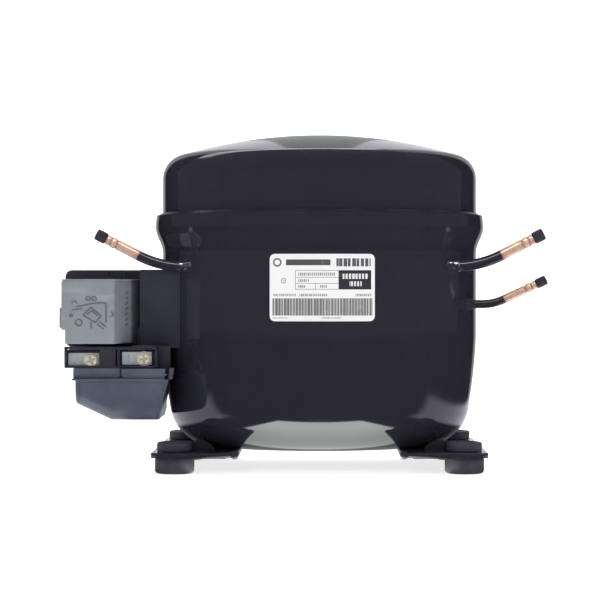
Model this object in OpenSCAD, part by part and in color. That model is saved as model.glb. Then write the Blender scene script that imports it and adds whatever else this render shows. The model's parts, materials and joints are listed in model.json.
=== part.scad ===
// Hermetic reciprocating compressor with feet, start gear and a working pump unit inside.
// Millimetres. X runs to the right seen from the front, the front is -Y, Z is up.
// The origin is the centre of the four mounting holes, at the underside of the rubber feet.

/* [Housing] */
// Length of the oval housing
shell_l = 191; // [185:0.5:196]
// Width of the oval housing from front to back
shell_w = 150; // [146:0.5:154]
// Height of the lid's top
lid_top = 201.5; // [199:0.1:204]
// Height of the rim where the lid enters
rim_top = 153; // [152:0.1:154]
// Sheet thickness of both halves
wall = 3; // [2.6:0.1:3.2]

/* [Feet] */
// Spacing of the mounting holes from left to right
foot_x = 170; // [168:1:174]
// Spacing of the mounting holes from front to back
foot_y = 100; // [96:1:104]
// Bore radius of the steel sleeves
sleeve_r = 4.2; // [3.8:0.1:4.4]

/* [Pump] */
// Crank throw, half of the stroke
throw = 8; // [6:0.5:8]
// Bore radius of the cylinder
bore_r = 12.5; // [11.5:0.1:12.6]
// Rotor outer radius
rotor_r = 31; // [30:0.1:31.1]

/* [Start gear] */
// Height of the grey cover's top edge
cover_top = 112.9; // [111:0.1:114]
// Front face of the grey cover, as a depth in front of the centre
cover_front = 56; // [54:1:60]

/* [Hidden] */
$fn = 96;

// the housing is a turned shape, squeezed from front to back into an oval
half_l = shell_l / 2;
squeeze = shell_w / shell_l;

// heights
base_z = 12.8;
corner_r = 27;
draft = 4.2;
rim_out = 4.4;
lid_r = 15;

// pump positions
shaft_x = -12;
deck_z = 137;
bore_z = 162;
head_x = 46.5;
stack_lo = 62;
stack_hi = 116;
bolt_dx = 40;
bolt_dy = 38;
spring_lo = 26;
spring_hi = 50;
loop_x = 25.5;

// tube roots: plan position, height, heading, first straight, bend radius, lift, second straight
suction = [78.8, -42.5, 121.5, -12, 2.4, 58.6, 27, 21];
discharge = [88.5, -28.2, 99, -12, 9, 30, 25, 21.3];
process = [-78.8, -42.5, 121.2, 192, 1.8, 57.6, 27, 21.5];

module tone(name) {
  color(name == "shell" ? [0.12, 0.12, 0.14] :
        name == "rubber" ? [0.2, 0.2, 0.21] :
        name == "copper" ? [0.72, 0.42, 0.27] :
        name == "steel" ? [0.7, 0.71, 0.72] :
        name == "iron" ? [0.42, 0.42, 0.43] :
        name == "grey" ? [0.5, 0.52, 0.54] :
        name == "slate" ? [0.17, 0.19, 0.23] :
        name == "brass" ? [0.76, 0.62, 0.33] :
        name == "white" ? [0.9, 0.9, 0.88] : [0.1, 0.1, 0.1]) children();
}

function arc(cx, cy, r, a0, a1, n) =
  [for (i = [0:n]) let (t = a0 + (a1 - a0) * i / n) [cx + r * cos(t), cy + r * sin(t)]];

// turns a profile drawn as (distance from the middle, height) into the oval
module round_oval() {
  scale([1, squeeze, 1]) rotate_extrude() children();
}

// the housing's straight outer wall as a solid
module wall_solid(z0, z1) {
  round_oval() translate([0, z0]) square([half_l, z1 - z0]);
}

// a hollow or solid round bar from point p along a heading and a lift
module bar(p, heading, lift, len, r) {
  translate(p) rotate([0, 90 - lift, heading]) cylinder(r = r, h = len);
}

module rounded_box(size, r) {
  linear_extrude(size[2]) {
    translate([r, 0]) square([size[0] - 2 * r, size[1]]);
    translate([0, r]) square([size[0], size[1] - 2 * r]);
    for (x = [r, size[0] - r], y = [r, size[1] - r]) translate([x, y]) circle(r = r);
  }
}

// ---------------------------------------------------------------- housing

module lower_shell() {
  cz = base_z + corner_r;
  cx = half_l - draft - corner_r;
  tone("shell") difference() {
    round_oval() polygon(concat(
      [[0, base_z]],
      arc(cx, cz, corner_r, -90, 0, 8),
      [[half_l, 62], [half_l, 134], [half_l + rim_out, 145], [half_l + rim_out, 149],
       [half_l + rim_out - 1, rim_top], [half_l + 0.6, rim_top], [half_l + 0.6, 143],
       [half_l - wall, 136], [half_l - wall, 62]],
      arc(cx, cz, corner_r - wall, 0, -90, 8),
      [[0, base_z + wall]]));
    tube_hole(suction, 3.2);
    tube_hole(discharge, 2.5);
    tube_hole(process, 3);
    translate([-110, 0, 92]) rotate([0, 90, 0]) cylinder(r = 14, h = 25);
  }
}

module tube_hole(t, r) {
  bar([t[0], t[1], t[2]] - 8 * [cos(t[3]), sin(t[3]), 0], t[3], 0, 20, r);
}

function crown(x) = lid_top - (lid_top - 188.9) * pow(x / 85.6, 2);

module upper_shell() {
  cx = half_l - lid_r;
  edge = cx + lid_r * cos(70);
  tone("shell") round_oval() polygon(concat(
    [[half_l, 146]],
    arc(cx, 175, lid_r, 0, 70, 7),
    [for (i = [1:8]) let (x = edge * (1 - i / 8)) [x, crown(x)]],
    [for (i = [8:-1:1]) let (x = edge * (1 - i / 8)) [x, crown(x) - wall]],
    arc(cx, 175, lid_r - wall, 70, 0, 7),
    [[half_l - wall, 146]]));
}

module seam_weld() {
  tone("shell") round_oval() polygon([[half_l, rim_top], [half_l + 2.6, rim_top],
    [half_l + 1.9, rim_top + 1], [half_l, rim_top + 1.8]]);
}

module foot_plate() {
  difference() {
    union() {
      translate([47, -67, base_z - 3]) rounded_box([51.3, 134, 3], 7);
      translate([54, -67, base_z - 4.6]) cube([37.3, 2.6, 2]);
      translate([54, 64.4, base_z - 4.6]) cube([37.3, 2.6, 2]);
      translate([95.7, -60, base_z - 4.6]) cube([2.6, 120, 2]);
    }
    for (y = [-1, 1]) translate([foot_x / 2, y * foot_y / 2, 0]) cylinder(r = 8, h = 20);
  }
}

module foot_plate_left() {
  tone("shell") rotate([0, 0, 180]) foot_plate();
}

module foot_plate_right() {
  tone("shell") foot_plate();
}

module at_feet() {
  for (x = [-1, 1], y = [-1, 1]) translate([x * foot_x / 2, y * foot_y / 2, 0]) children();
}

module grommets() {
  tone("rubber") at_feet() rotate_extrude() polygon([
    [5.2, 0], [10.6, 0], [11.5, 1], [11.5, 8.6], [10.6, base_z - 3], [8, base_z - 3], [8, base_z],
    [9.8, base_z], [10.5, base_z + 0.8], [10.5, 17.4], [9.6, 18.3], [7.2, 18.3], [6.6, 17], [5.2, 17]]);
}

module grommet_sleeves() {
  tone("steel") at_feet() difference() {
    cylinder(r = 5.2, h = 17.6);
    translate([0, 0, -1]) cylinder(r = sleeve_r, h = 20);
  }
}

module rating_label() {
  tone("white") intersection() {
    round_oval() translate([half_l, 80]) square([0.35, 60]);
    translate([1.6 - 30.3, -60, 89.3]) rotate([90, 0, 0]) rounded_box([60.6, 38.8, 20], 3);
  }
}

// ---------------------------------------------------------------- tubes

// the whole outside or inside of a bent tube, in its own vertical plane
module bent(t, r, inner, extra) {
  dir = [cos(t[3]), sin(t[3]), 0];
  p0 = [t[0], t[1], t[2]];
  bar(p0 - inner * dir, t[3], 0, t[4] + inner, r);
  translate(p0 + t[4] * dir) rotate([90, 0, t[3]]) translate([0, t[5], 0]) rotate([0, 0, -90])
    rotate_extrude(angle = t[6]) translate([t[5], 0]) circle(r = r);
  bar(tube_bend(t), t[3], t[6], t[7] + extra, r);
  bar(p0 + (t[4] - 0.6) * dir, t[3], 0, 1.2, r + 0.12);
  bar(tube_bend(t) - 0.6 * tube_dir(t), t[3], t[6], 1.2, r + 0.12);
}

function tube_bend(t) = [t[0], t[1], t[2]]
  + (t[4] + t[5] * sin(t[6])) * [cos(t[3]), sin(t[3]), 0] + [0, 0, t[5] * (1 - cos(t[6]))];

function tube_dir(t) = [cos(t[6]) * cos(t[3]), cos(t[6]) * sin(t[3]), sin(t[6])];

module open_tube(t, r, w) {
  e = tube_bend(t);
  d = tube_dir(t);
  difference() {
    union() {
      bent(t, r, 9, 0);
      bar(e + (t[7] - 11) * d, t[3], t[6], 3, r + 0.6);
      bar(e + (t[7] - 5.5) * d, t[3], t[6], 5.5, r + 0.35);
    }
    bent(t, r - w, 10, 2);
  }
}

module end_plug(t, r, w) {
  e = tube_bend(t) + t[7] * tube_dir(t);
  bar(e, t[3], t[6], 6.5, r + 0.6);
  bar(e - 6 * tube_dir(t), t[3], t[6], 6.2, r - w - 0.05);
}

module suction_tube() {
  tone("copper") open_tube(suction, 3.2, 0.8);
}

module discharge_tube() {
  tone("copper") open_tube(discharge, 2.5, 0.7);
}

module process_tube() {
  tone("copper") open_tube(process, 3, 0.75);
}

module collar(t, r) {
  dir = [cos(t[3]), sin(t[3]), 0];
  difference() {
    bar([t[0], t[1], t[2]] - 4 * dir, t[3], 0, 8.5, r + 2.2);
    bar([t[0], t[1], t[2]] - 9 * dir, t[3], 0, 20, r + 0.2);
    wall_solid(80, 132);
  }
}

module tube_collars() {
  tone("steel") {
    collar(suction, 3.2);
    collar(discharge, 2.5);
    collar(process, 3);
  }
}

module suction_plug() {
  tone("rubber") end_plug(suction, 3.2, 0.8);
}

module discharge_plug() {
  tone("rubber") end_plug(discharge, 2.5, 0.7);
}

module process_plug() {
  tone("rubber") end_plug(process, 3, 0.75);
}

// ---------------------------------------------------------------- terminal and start gear

module at_pins() {
  for (a = [90, 210, 330]) translate([0, 7.5 * cos(a), 92 + 7.5 * sin(a)]) children();
}

module terminal_cup() {
  tone("steel") difference() {
    translate([-97.5, 0, 92]) rotate([0, 90, 0]) cylinder(r = 14, h = 6);
    translate([-98.5, 0, 92]) rotate([0, 90, 0]) cylinder(r = 11.5, h = 3);
    at_pins() translate([-99, 0, 0]) rotate([0, 90, 0]) cylinder(r = 2.6, h = 10);
  }
}

module terminal_glass() {
  tone("brass") at_pins() translate([-95.5, 0, 0]) rotate([0, 90, 0]) difference() {
    cylinder(r = 2.6, h = 4);
    translate([0, 0, -1]) cylinder(r = 1.2, h = 6);
  }
}

module terminal_pins() {
  tone("steel") at_pins() translate([-111, 0, 0]) rotate([0, 90, 0]) cylinder(r = 1.2, h = 29);
}

module box_bracket() {
  tone("steel") difference() {
    union() {
      translate([-106, 17, 74]) cube([22, 1.6, 34]);
      translate([-106, -18.6, 74]) cube([22, 1.6, 34]);
      translate([-106, -18.6, 72.4]) cube([22, 37.2, 1.6]);
    }
    wall_solid(63, 130);
  }
}

module start_relay() {
  tone("black") difference() {
    translate([-133, -13.5, 79]) cube([34.8, 30, 29]);
    at_pins() translate([-112, 0, 0]) rotate([0, 90, 0]) cylinder(r = 1.25, h = 20);
    translate([-127, 0, 93]) rotate([0, 90, 0]) cylinder(r = 8.5, h = 8);
  }
}

module ptc_disc() {
  tone("iron") translate([-124.5, 0, 93]) rotate([0, 90, 0]) cylinder(r = 8, h = 3);
}

module overload_protector() {
  tone("black") {
    translate([-132, -20, 94]) rotate([90, 0, 0]) cylinder(r = 11, h = 15);
    translate([-145, -20, 88]) rotate([90, 0, 0]) cylinder(r = 2.5, h = 8);
    translate([-146, -22, 86]) cube([14, 2, 4]);
  }
}

module box_housing() {
  tone("black") difference() {
    union() {
      translate([-153.5, 34, 73]) rotate([90, 0, 0]) rounded_box([70, 46.5, 51], 4);
      translate([-106.6, -38, 73]) cube([28, 26, 46.5]);
    }
    translate([-151.3, 31.8, 75.2]) rotate([90, 0, 0]) rounded_box([70, 42.1, 54], 3);
    translate([-104.8, -36, 75.2]) cube([30, 40, 42.1]);
    translate([-107, -25.5, 75.2]) cube([10, 20, 42.1]);
    wall_solid(63, 130);
    translate([-106.4, -19, 72]) cube([30, 38, 37]);
  }
}

// grey cover: flat front, slanted right side, open at the back
module cover_plan(g) {
  polygon([[-151.6 + g, -17.1], [-150.9 + g, -cover_front + g], [-119.9 - g * 0.6, -cover_front + g],
    [-107.4 - g, -21], [-107.4 - g, -17.1]]);
}

module relay_cover() {
  tone("grey") difference() {
    union() {
      translate([0, 0, 75.8]) linear_extrude(cover_top - 75.8) cover_plan(0);
      translate([-150.2, -cover_front + 1, cover_top]) cube([24, 40, 0.8]);
      translate([-153.2, -46, 86]) cube([4, 12, 20]);
    }
    translate([0, 0.3, 77.8]) linear_extrude(cover_top - 79.8) cover_plan(2);
    translate([-110, -24, 70]) cube([6, 12, 16]);
    translate([-151.6, -60, 70]) cube([3.5, 46, 14]);
  }
}

module terminal_board() {
  tone("black") {
    translate([-149.8, -46, 61.5]) cube([54.6, 30, 10.4]);
    translate([-128.8, -50, 62.5]) cube([8.8, 4.5, 9.4]);
    translate([-118.5, -49, 62.5]) cube([1.6, 3.5, 9.4]);
    translate([-149.8, -49, 61.5]) cube([54.6, 3.5, 1]);
    translate([-149, -40, 71.5]) cube([52, 20, 1.4]);
  }
}

module clamp_plates() {
  tone("steel") {
    translate([-147.9, -47.2, 63]) cube([18.2, 1.2, 7.2]);
    translate([-116, -47.2, 63.4]) cube([17, 1.2, 7.6]);
  }
}

module screw(x, z) {
  translate([x, -47.2, z]) rotate([90, 0, 0]) difference() {
    cylinder(r = 3.4, h = 2.2);
    translate([-0.5, -2.3, 1.2]) cube([1, 4.6, 2]);
    translate([-2.3, -0.5, 1.2]) cube([4.6, 1, 2]);
  }
}

module terminal_screws() {
  tone("brass") {
    screw(-134.2, 66.6);
    screw(-103.1, 67.2);
  }
}

module lower_plan(g) {
  polygon([[-142.8 + g, 54.5], [-142.8 + g, 40.5 + g * 0.5], [-122.1 + g * 0.5, 30.9 + g],
    [-94.8 - g * 0.6, 30.9 + g], [-88.4 - g, 54.5]]);
}

module lower_cover() {
  tone("slate") difference() {
    translate([0, 4, 0]) rotate([90, 0, 0]) linear_extrude(58.5) lower_plan(0);
    translate([0, 5, 0.01]) rotate([90, 0, 0]) linear_extrude(57.3) lower_plan(2.2);
    scale(1.005) wall_solid(20, 80);
  }
}

module cover_flap() {
  tone("slate") difference() {
    union() {
      translate([-144.5, -51, 54.5]) cube([53.4, 55, 2]);
      translate([-144.5, -51, 56.5]) cube([53.4, 2, 4.6]);
      translate([-143, -40, 56.5]) cube([50, 28, 5]);
      translate([-116.2, -53.2, 55.5]) cube([25.1, 2.2, 5.2]);
    }
    scale(1.005) wall_solid(20, 80);
  }
}

// ---------------------------------------------------------------- pump unit

module at_bolts() {
  for (x = [-bolt_dx, bolt_dx], y = [-bolt_dy, bolt_dy]) translate([shaft_x + x, y, 0]) children();
}

module lower_spring_seats() {
  tone("steel") difference() {
    union() {
      at_bolts() translate([0, 0, 24]) cylinder(r = 8.6, h = 2);
      at_bolts() translate([0, 0, 13]) cylinder(r = 6, h = 12);
      at_bolts() translate([0, 0, 25]) cylinder(r = 4.2, h = 6);
    }
    difference() {
      translate([-100, -80, 0]) cube([200, 160, 27]);
      shell_hollow();
    }
  }
}

// the space inside the lower shell's bottom
module shell_hollow() {
  cz = base_z + corner_r;
  round_oval() polygon(concat([[0, cz], [0, base_z + wall]],
    arc(half_l - draft - corner_r, cz, corner_r - wall, -90, 0, 8)));
}

module cylinder_block() {
  tone("iron") difference() {
    union() {
      translate([shaft_x - 48, -46, deck_z]) cube([head_x - shaft_x + 48, 92, 8]);
      at_bolts() translate([0, 0, stack_hi]) cylinder(r = 6.5, h = deck_z + 1 - stack_hi);
      translate([shaft_x, 0, stack_hi + 2]) cylinder(r = 15, h = deck_z + 1 - stack_hi - 2);
      translate([12, -16, deck_z + 4]) cube([head_x - 12, 32, bore_z - deck_z - 4]);
      translate([12, 0, bore_z]) rotate([0, 90, 0]) cylinder(r = 19, h = head_x - 12);
      translate([head_x - 7, -21, 141]) cube([7, 42, 42]);
    }
    translate([shaft_x, 0, 100]) cylinder(r = 9.03, h = 60);
    translate([0, 0, bore_z]) rotate([0, 90, 0]) cylinder(r = bore_r, h = 60);
    at_head() translate([head_x - 16, 0, 0]) rotate([0, 90, 0]) cylinder(r = 2.6, h = 20);
    for (y = [-30, 30]) translate([12, y, deck_z - 1]) cylinder(r = 9, h = 10);
  }
}

module at_head() {
  for (y = [-16.5, 16.5], z = [-16.5, 16.5]) translate([0, y, bore_z + z]) children();
}

module stator_core() {
  tone("iron") difference() {
    intersection() {
      translate([shaft_x - 54, -54, stack_lo]) cube([108, 108, stack_hi - stack_lo]);
      translate([shaft_x, 0, stack_lo - 1]) cylinder(r = 66, h = 60);
    }
    translate([shaft_x, 0, stack_lo - 1]) cylinder(r = 31.5, h = 60);
    for (i = [0:23]) translate([shaft_x, 0, stack_lo - 1]) rotate([0, 0, 15 * i + 7.5]) slot(0, 60);
    at_bolts() translate([0, 0, stack_lo - 1]) cylinder(r = 3.1, h = 60);
  }
}

module slot(g, h) {
  linear_extrude(h) polygon([[30, -1.1 + g * 0.3], [34, -1.1 + g * 0.3], [35, -2.4 + g], [45.5 - g, -3.5 + g],
    [45.5 - g, 3.5 - g], [35, 2.4 - g], [34, 1.1 - g * 0.3], [30, 1.1 - g * 0.3]]);
}

module stator_windings() {
  tone("copper") {
    for (z = [44, stack_hi]) translate([shaft_x, 0, z]) difference() {
      cylinder(r = 46, h = 18);
      translate([0, 0, -1]) cylinder(r = 34.5, h = 20);
    }
    for (i = [0:23]) translate([shaft_x, 0, stack_lo - 1]) rotate([0, 0, 15 * i + 7.5]) intersection() {
      slot(0.3, stack_hi - stack_lo + 2);
      translate([36, -5, 0]) cube([20, 10, 60]);
    }
  }
}

module slot_wedges() {
  tone("white") for (i = [0:23]) translate([shaft_x, 0, stack_lo - 0.4]) rotate([0, 0, 15 * i + 7.5])
    translate([32.5, -0.9, 0]) cube([1.4, 1.8, stack_hi - stack_lo + 0.8]);
}

module stator_bolts() {
  tone("steel") at_bolts() {
    translate([0, 0, 56]) cylinder(r = 5, h = 6);
    translate([0, 0, 61]) cylinder(r = 3, h = stack_hi - 61);
  }
}

module upper_spring_seats() {
  tone("steel") at_bolts() {
    translate([0, 0, spring_hi]) cylinder(r = 8.2, h = 2);
    translate([0, 0, 44]) cylinder(r = 4.2, h = 7);
    translate([0, 0, 51]) cylinder(r = 4.5, h = 5);
  }
}

module suspension_springs() {
  turns = 4;
  per = 14;
  sides = 6;
  wire = 0.9;
  count = turns * per;
  pts = [for (i = [0:count], j = [0:sides - 1])
    let (a = 360 * i / per, b = 360 * j / sides, r = 6.4 + wire * cos(b))
    [r * cos(a), r * sin(a), spring_lo + wire + (spring_hi - spring_lo - 2 * wire) * i / count + wire * sin(b)]];
  faces = concat(
    [for (i = [0:count - 1], j = [0:sides - 1]) let (k = (j + 1) % sides)
      [i * sides + j, i * sides + k, (i + 1) * sides + j]],
    [for (i = [0:count - 1], j = [0:sides - 1]) let (k = (j + 1) % sides)
      [i * sides + k, (i + 1) * sides + k, (i + 1) * sides + j]],
    [[for (j = [sides - 1:-1:0]) j]],
    [[for (j = [0:sides - 1]) count * sides + j]]);
  tone("steel") at_bolts() polyhedron(pts, faces);
}

module thrust_washer() {
  tone("brass") translate([shaft_x, 0, deck_z + 8]) difference() {
    cylinder(r = 15, h = 1);
    translate([0, 0, -1]) cylinder(r = 9.4, h = 3);
  }
}

module head_sheet(x, t) {
  translate([x, -21, 141]) rotate([90, 0, 90]) rounded_box([42, 42, t], 4);
}

module head_holes() {
  at_head() translate([head_x - 1, 0, 0]) rotate([0, 90, 0]) cylinder(r = 2.6, h = 30);
}

module cylinder_gasket() {
  tone("black") difference() {
    head_sheet(head_x, 0.7);
    translate([head_x - 1, 0, bore_z]) rotate([0, 90, 0]) cylinder(r = bore_r + 0.6, h = 3);
    head_holes();
  }
}

module valve_plate() {
  tone("steel") difference() {
    head_sheet(head_x + 0.7, 3.3);
    head_holes();
    translate([head_x - 1, 0, bore_z - 6]) rotate([0, 90, 0]) cylinder(r = 3, h = 10);
    translate([head_x - 1, 0, bore_z + 6]) rotate([0, 90, 0]) cylinder(r = 2.4, h = 10);
  }
}

// thin tongue on the cylinder side, over the lower port
module suction_reed() {
  tone("steel") translate([head_x + 0.35, -4, bore_z - 10.5]) cube([0.3, 8, 19]);
}

module discharge_reed() {
  tone("steel") translate([head_x + 4.05, -3.5, bore_z - 5]) cube([0.3, 7, 15]);
}

module reed_stop() {
  tone("steel") {
    translate([head_x + 6.2, -3.5, bore_z - 8]) cube([1.4, 7, 19]);
    translate([head_x + 4, -3.5, bore_z - 8]) cube([3, 7, 2.6]);
  }
}

module head_gasket() {
  tone("black") difference() {
    head_sheet(head_x + 4, 0.6);
    head_holes();
    translate([head_x + 3, -13, bore_z - 13]) cube([3, 26, 26]);
  }
}

module cylinder_head() {
  tone("iron") difference() {
    head_sheet(head_x + 4.6, 13);
    translate([head_x + 3, -13, bore_z - 13]) cube([12, 26, 26]);
    head_holes();
  }
}

module head_bolts() {
  tone("steel") at_head() translate([head_x - 10, 0, 0]) rotate([0, 90, 0]) {
    cylinder(r = 2.5, h = 28);
    translate([0, 0, 27.6]) cylinder(r = 4.3, h = 4, $fn = 6);
  }
}

module suction_muffler() {
  tone("white") difference() {
    union() {
      translate([47, -30, 84]) rounded_box([24, 44, 50], 5);
      translate([56, -8, 133]) cylinder(r = 6, h = 8);
      translate([68, -22, 112]) rotate([0, 90, 0]) cylinder(r = 5, h = 7);
    }
    translate([49, -28, 86]) rounded_box([20, 40, 46], 4);
    translate([60, -22, 112]) rotate([0, 90, 0]) cylinder(r = 3.8, h = 20);
    translate([56, -8, 130]) cylinder(r = 4, h = 12);
  }
}

module discharge_muffler() {
  tone("iron") translate([-46, 30, deck_z + 8]) difference() {
    union() {
      cylinder(r = 12, h = 17);
      translate([0, 0, 17]) cylinder(r = 9, h = 3);
    }
    translate([0, 0, 1.5]) cylinder(r = 10, h = 14);
    translate([0, 0, 10]) rotate([-90, 0, 0]) cylinder(r = 2, h = 20);
  }
}

module loop_path(r) {
  translate([-46, 40, 155]) rotate([-90, 0, 0]) cylinder(r = r, h = 12);
  translate([-46, 52, 149]) rotate([0, -90, 0]) rotate_extrude(angle = 90)
    translate([6, 0]) circle(r = r);
  translate([-46, 58, 105]) cylinder(r = r, h = 44);
  translate([-40, 58, 105]) rotate([90, 0, 0]) rotate([0, 0, 180]) rotate_extrude(angle = 90)
    translate([6, 0]) circle(r = r);
  translate([-40, 58, 99]) rotate([0, 90, 0]) cylinder(r = r, h = 40 + loop_x);
  translate([loop_x, 0, 99]) rotate([0, 0, -21]) rotate_extrude(angle = 111)
    translate([58, 0]) circle(r = r);
  translate([-46, 51.4, 155]) rotate([-90, 0, 0]) cylinder(r = r + 0.12, h = 1.2);
  translate([-46, 58, 148.4]) cylinder(r = r + 0.12, h = 1.2);
  translate([-46, 58, 104.4]) cylinder(r = r + 0.12, h = 1.2);
  translate([-40.6, 58, 99]) rotate([0, 90, 0]) cylinder(r = r + 0.12, h = 1.2);
  translate([loop_x - 0.6, 58, 99]) rotate([0, 90, 0]) cylinder(r = r + 0.12, h = 1.2);
}

module discharge_loop() {
  tone("copper") difference() {
    loop_path(2);
    translate([-46, 30, 140]) cylinder(r = 12, h = 22);
  }
}

module lead_connector() {
  tone("white") difference() {
    translate([-90, -13, 83]) cube([17, 26, 18]);
    at_pins() translate([-95, 0, 0]) rotate([0, 90, 0]) cylinder(r = 1.25, h = 15);
  }
}

module motor_leads() {
  tone("white") for (y = [-8, 0, 8]) translate([0, y, 0]) {
    translate([-70, 0, 125]) rotate([0, 90, 0]) cylinder(r = 1.2, h = 11.2);
    translate([-70, 0, 120]) rotate([90, 0, 0]) rotate([0, 0, 90]) rotate_extrude(angle = 90)
      translate([5, 0]) circle(r = 1.2);
    translate([-75, 0, 104]) cylinder(r = 1.2, h = 16);
  }
}

// ---------------------------------------------------------------- crank drive

module crankshaft() {
  tone("steel") difference() {
    union() {
      translate([shaft_x, 0, 40]) cylinder(r = 9, h = 107);
      translate([shaft_x, 0, 146]) cylinder(r = 17, h = 7.5);
      translate([shaft_x + throw, 0, 153]) cylinder(r = 7, h = 18);
    }
    translate([shaft_x, 0, 39]) cylinder(r = 3.5, h = 50);
    translate([shaft_x, 0, 39]) cylinder(r = 6, h = 13);
    translate([shaft_x + throw / 2, 0, 159]) cylinder(r = 2.45, h = 20);
  }
}

module rotor_core() {
  tone("iron") translate([shaft_x, 0, stack_lo]) difference() {
    cylinder(r = rotor_r, h = stack_hi - stack_lo);
    translate([0, 0, -1]) cylinder(r = 9, h = 60);
  }
}

module rotor_rings() {
  tone("steel") for (z = [stack_lo - 6, stack_hi]) translate([shaft_x, 0, z]) difference() {
    cylinder(r = 30, h = 6);
    translate([0, 0, -1]) cylinder(r = 20, h = 8);
  }
}

module oil_pickup() {
  tone("steel") translate([shaft_x, 0, 0]) rotate_extrude()
    polygon([[1.5, 20], [2.4, 20], [6, 34], [6, 52], [3.5, 52], [3.5, 40], [5, 40], [5, 34.3]]);
}

module slide_block() {
  tone("brass") translate([shaft_x + throw, 0, 155.5]) difference() {
    translate([-8.9, -10, 0]) cube([17.8, 20, 13]);
    translate([0, 0, -1]) cylinder(r = 7.05, h = 15);
  }
}

module gallery_plug() {
  tone("steel") translate([shaft_x + throw / 2, 0, 159.2]) cylinder(r = 2.4, h = 11.6);
}

module piston() {
  px = shaft_x + throw;
  tone("steel") difference() {
    union() {
      translate([px - 14, -23.5, 155.7]) cube([28, 47, 12.6]);
      translate([px + 13, 0, bore_z]) rotate([0, 90, 0]) cylinder(r = 6, h = 30);
      translate([22, 0, bore_z]) rotate([0, 90, 0]) cylinder(r = bore_r - 0.03, h = 24.2);
    }
    translate([px - 9, -18.6, 150]) cube([18, 37.2, 24]);
    translate([45, -4.6, bore_z - 11.6]) cube([2, 9.2, 21]);
  }
}

lower_shell();
upper_shell();
seam_weld();
foot_plate_left();
foot_plate_right();
grommets();
grommet_sleeves();
suction_tube();
discharge_tube();
process_tube();
tube_collars();
suction_plug();
discharge_plug();
process_plug();
rating_label();
terminal_cup();
terminal_glass();
terminal_pins();
box_bracket();
start_relay();
ptc_disc();
overload_protector();
box_housing();
relay_cover();
terminal_board();
clamp_plates();
terminal_screws();
lower_cover();
cover_flap();
lower_spring_seats();
cylinder_block();
stator_core();
stator_windings();
slot_wedges();
stator_bolts();
suspension_springs();
upper_spring_seats();
thrust_washer();
cylinder_gasket();
valve_plate();
suction_reed();
discharge_reed();
reed_stop();
head_gasket();
cylinder_head();
head_bolts();
suction_muffler();
discharge_muffler();
discharge_loop();
lead_connector();
motor_leads();
crankshaft();
rotor_core();
rotor_rings();
oil_pickup();
slide_block();
gallery_plug();
piston();
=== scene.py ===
"""Looks of a hermetic refrigeration compressor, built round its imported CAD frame.

Shapes are worked out in millimetres, in the frame's own axes, and become metres in make_piece.
"""

import json
import math

import bmesh
import bpy
from bpy.props import FloatProperty, FloatVectorProperty, IntProperty, PointerProperty
from mathutils import Matrix, Vector


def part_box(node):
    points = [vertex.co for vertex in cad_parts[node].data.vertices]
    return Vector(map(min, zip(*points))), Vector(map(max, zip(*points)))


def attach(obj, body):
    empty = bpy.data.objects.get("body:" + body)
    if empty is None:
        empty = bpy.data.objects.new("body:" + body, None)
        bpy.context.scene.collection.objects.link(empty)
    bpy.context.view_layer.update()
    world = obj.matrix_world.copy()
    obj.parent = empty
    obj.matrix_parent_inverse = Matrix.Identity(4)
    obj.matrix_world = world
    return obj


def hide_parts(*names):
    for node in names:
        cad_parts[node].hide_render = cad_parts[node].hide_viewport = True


bl_info = {
    "name": "Hermetic Compressor",
    "version": (1, 0, 0),
    "blender": (4, 5, 0),
    "location": "3D View > Sidebar > Compressor",
    "description": "Builds the looks of a hermetic compressor round its CAD frame",
    "category": "Add Mesh",
}

MM = 0.001

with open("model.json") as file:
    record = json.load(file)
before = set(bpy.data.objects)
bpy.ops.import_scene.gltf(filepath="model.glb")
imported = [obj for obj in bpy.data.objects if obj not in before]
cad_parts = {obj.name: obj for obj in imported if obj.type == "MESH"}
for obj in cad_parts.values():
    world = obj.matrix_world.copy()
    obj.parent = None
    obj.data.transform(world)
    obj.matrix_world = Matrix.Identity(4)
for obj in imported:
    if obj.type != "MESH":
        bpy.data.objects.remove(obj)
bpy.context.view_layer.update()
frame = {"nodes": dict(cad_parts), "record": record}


def span(node):
    """Lowest and highest corner of a CAD node, in millimetres."""
    low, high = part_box(node)
    return low / MM, high / MM


# ------------------------------------------------------------------ settings


def length(name, description, default, low=0.0, high=400.0):
    """A length property in millimetres."""
    return FloatProperty(name=name, description=description, default=default, min=low, max=high)


def colour(name, description, default):
    """A linear colour property."""
    return FloatVectorProperty(
        name=name, description=description, default=default, size=3, min=0.0, max=1.0,
        subtype="COLOR",
    )


class HousingSettings(bpy.types.PropertyGroup):
    """Sizes of the oval housing, in millimetres."""

    wall: length("Wall", "Sheet thickness of both halves", 3.0, 1, 6)
    corner: length("Bottom Corner", "Radius between the wall and the bottom", 27.0, 5, 50)
    draft: length("Draft", "How far the wall leans in above the bottom corner", 4.2, 0, 10)
    draft_top: length("Draft Top", "Height where the wall becomes upright", 80.0, 40, 90)
    flare: length("Flare", "How far the rim stands out from the wall", 4.4, 0, 8)
    flare_low: length("Flare Start", "Height where the wall starts to flare", 130.0, 110, 140)
    lid_corner: length("Lid Corner", "Radius between the lid's wall and its crown", 15.0, 5, 30)
    steps: IntProperty(name="Steps", description="Facets round the oval", default=224, min=48, max=512)


class FootSettings(bpy.types.PropertyGroup):
    """Sizes of the feet, in millimetres."""

    sheet: length("Sheet", "Thickness of the foot plates", 3.0, 1, 5)
    corner: length("Corner", "Corner radius of the foot plates", 7.0, 1, 20)
    lip: length("Lip", "Depth of the turned edge below the plate", 0.4, 0, 5)


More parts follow.
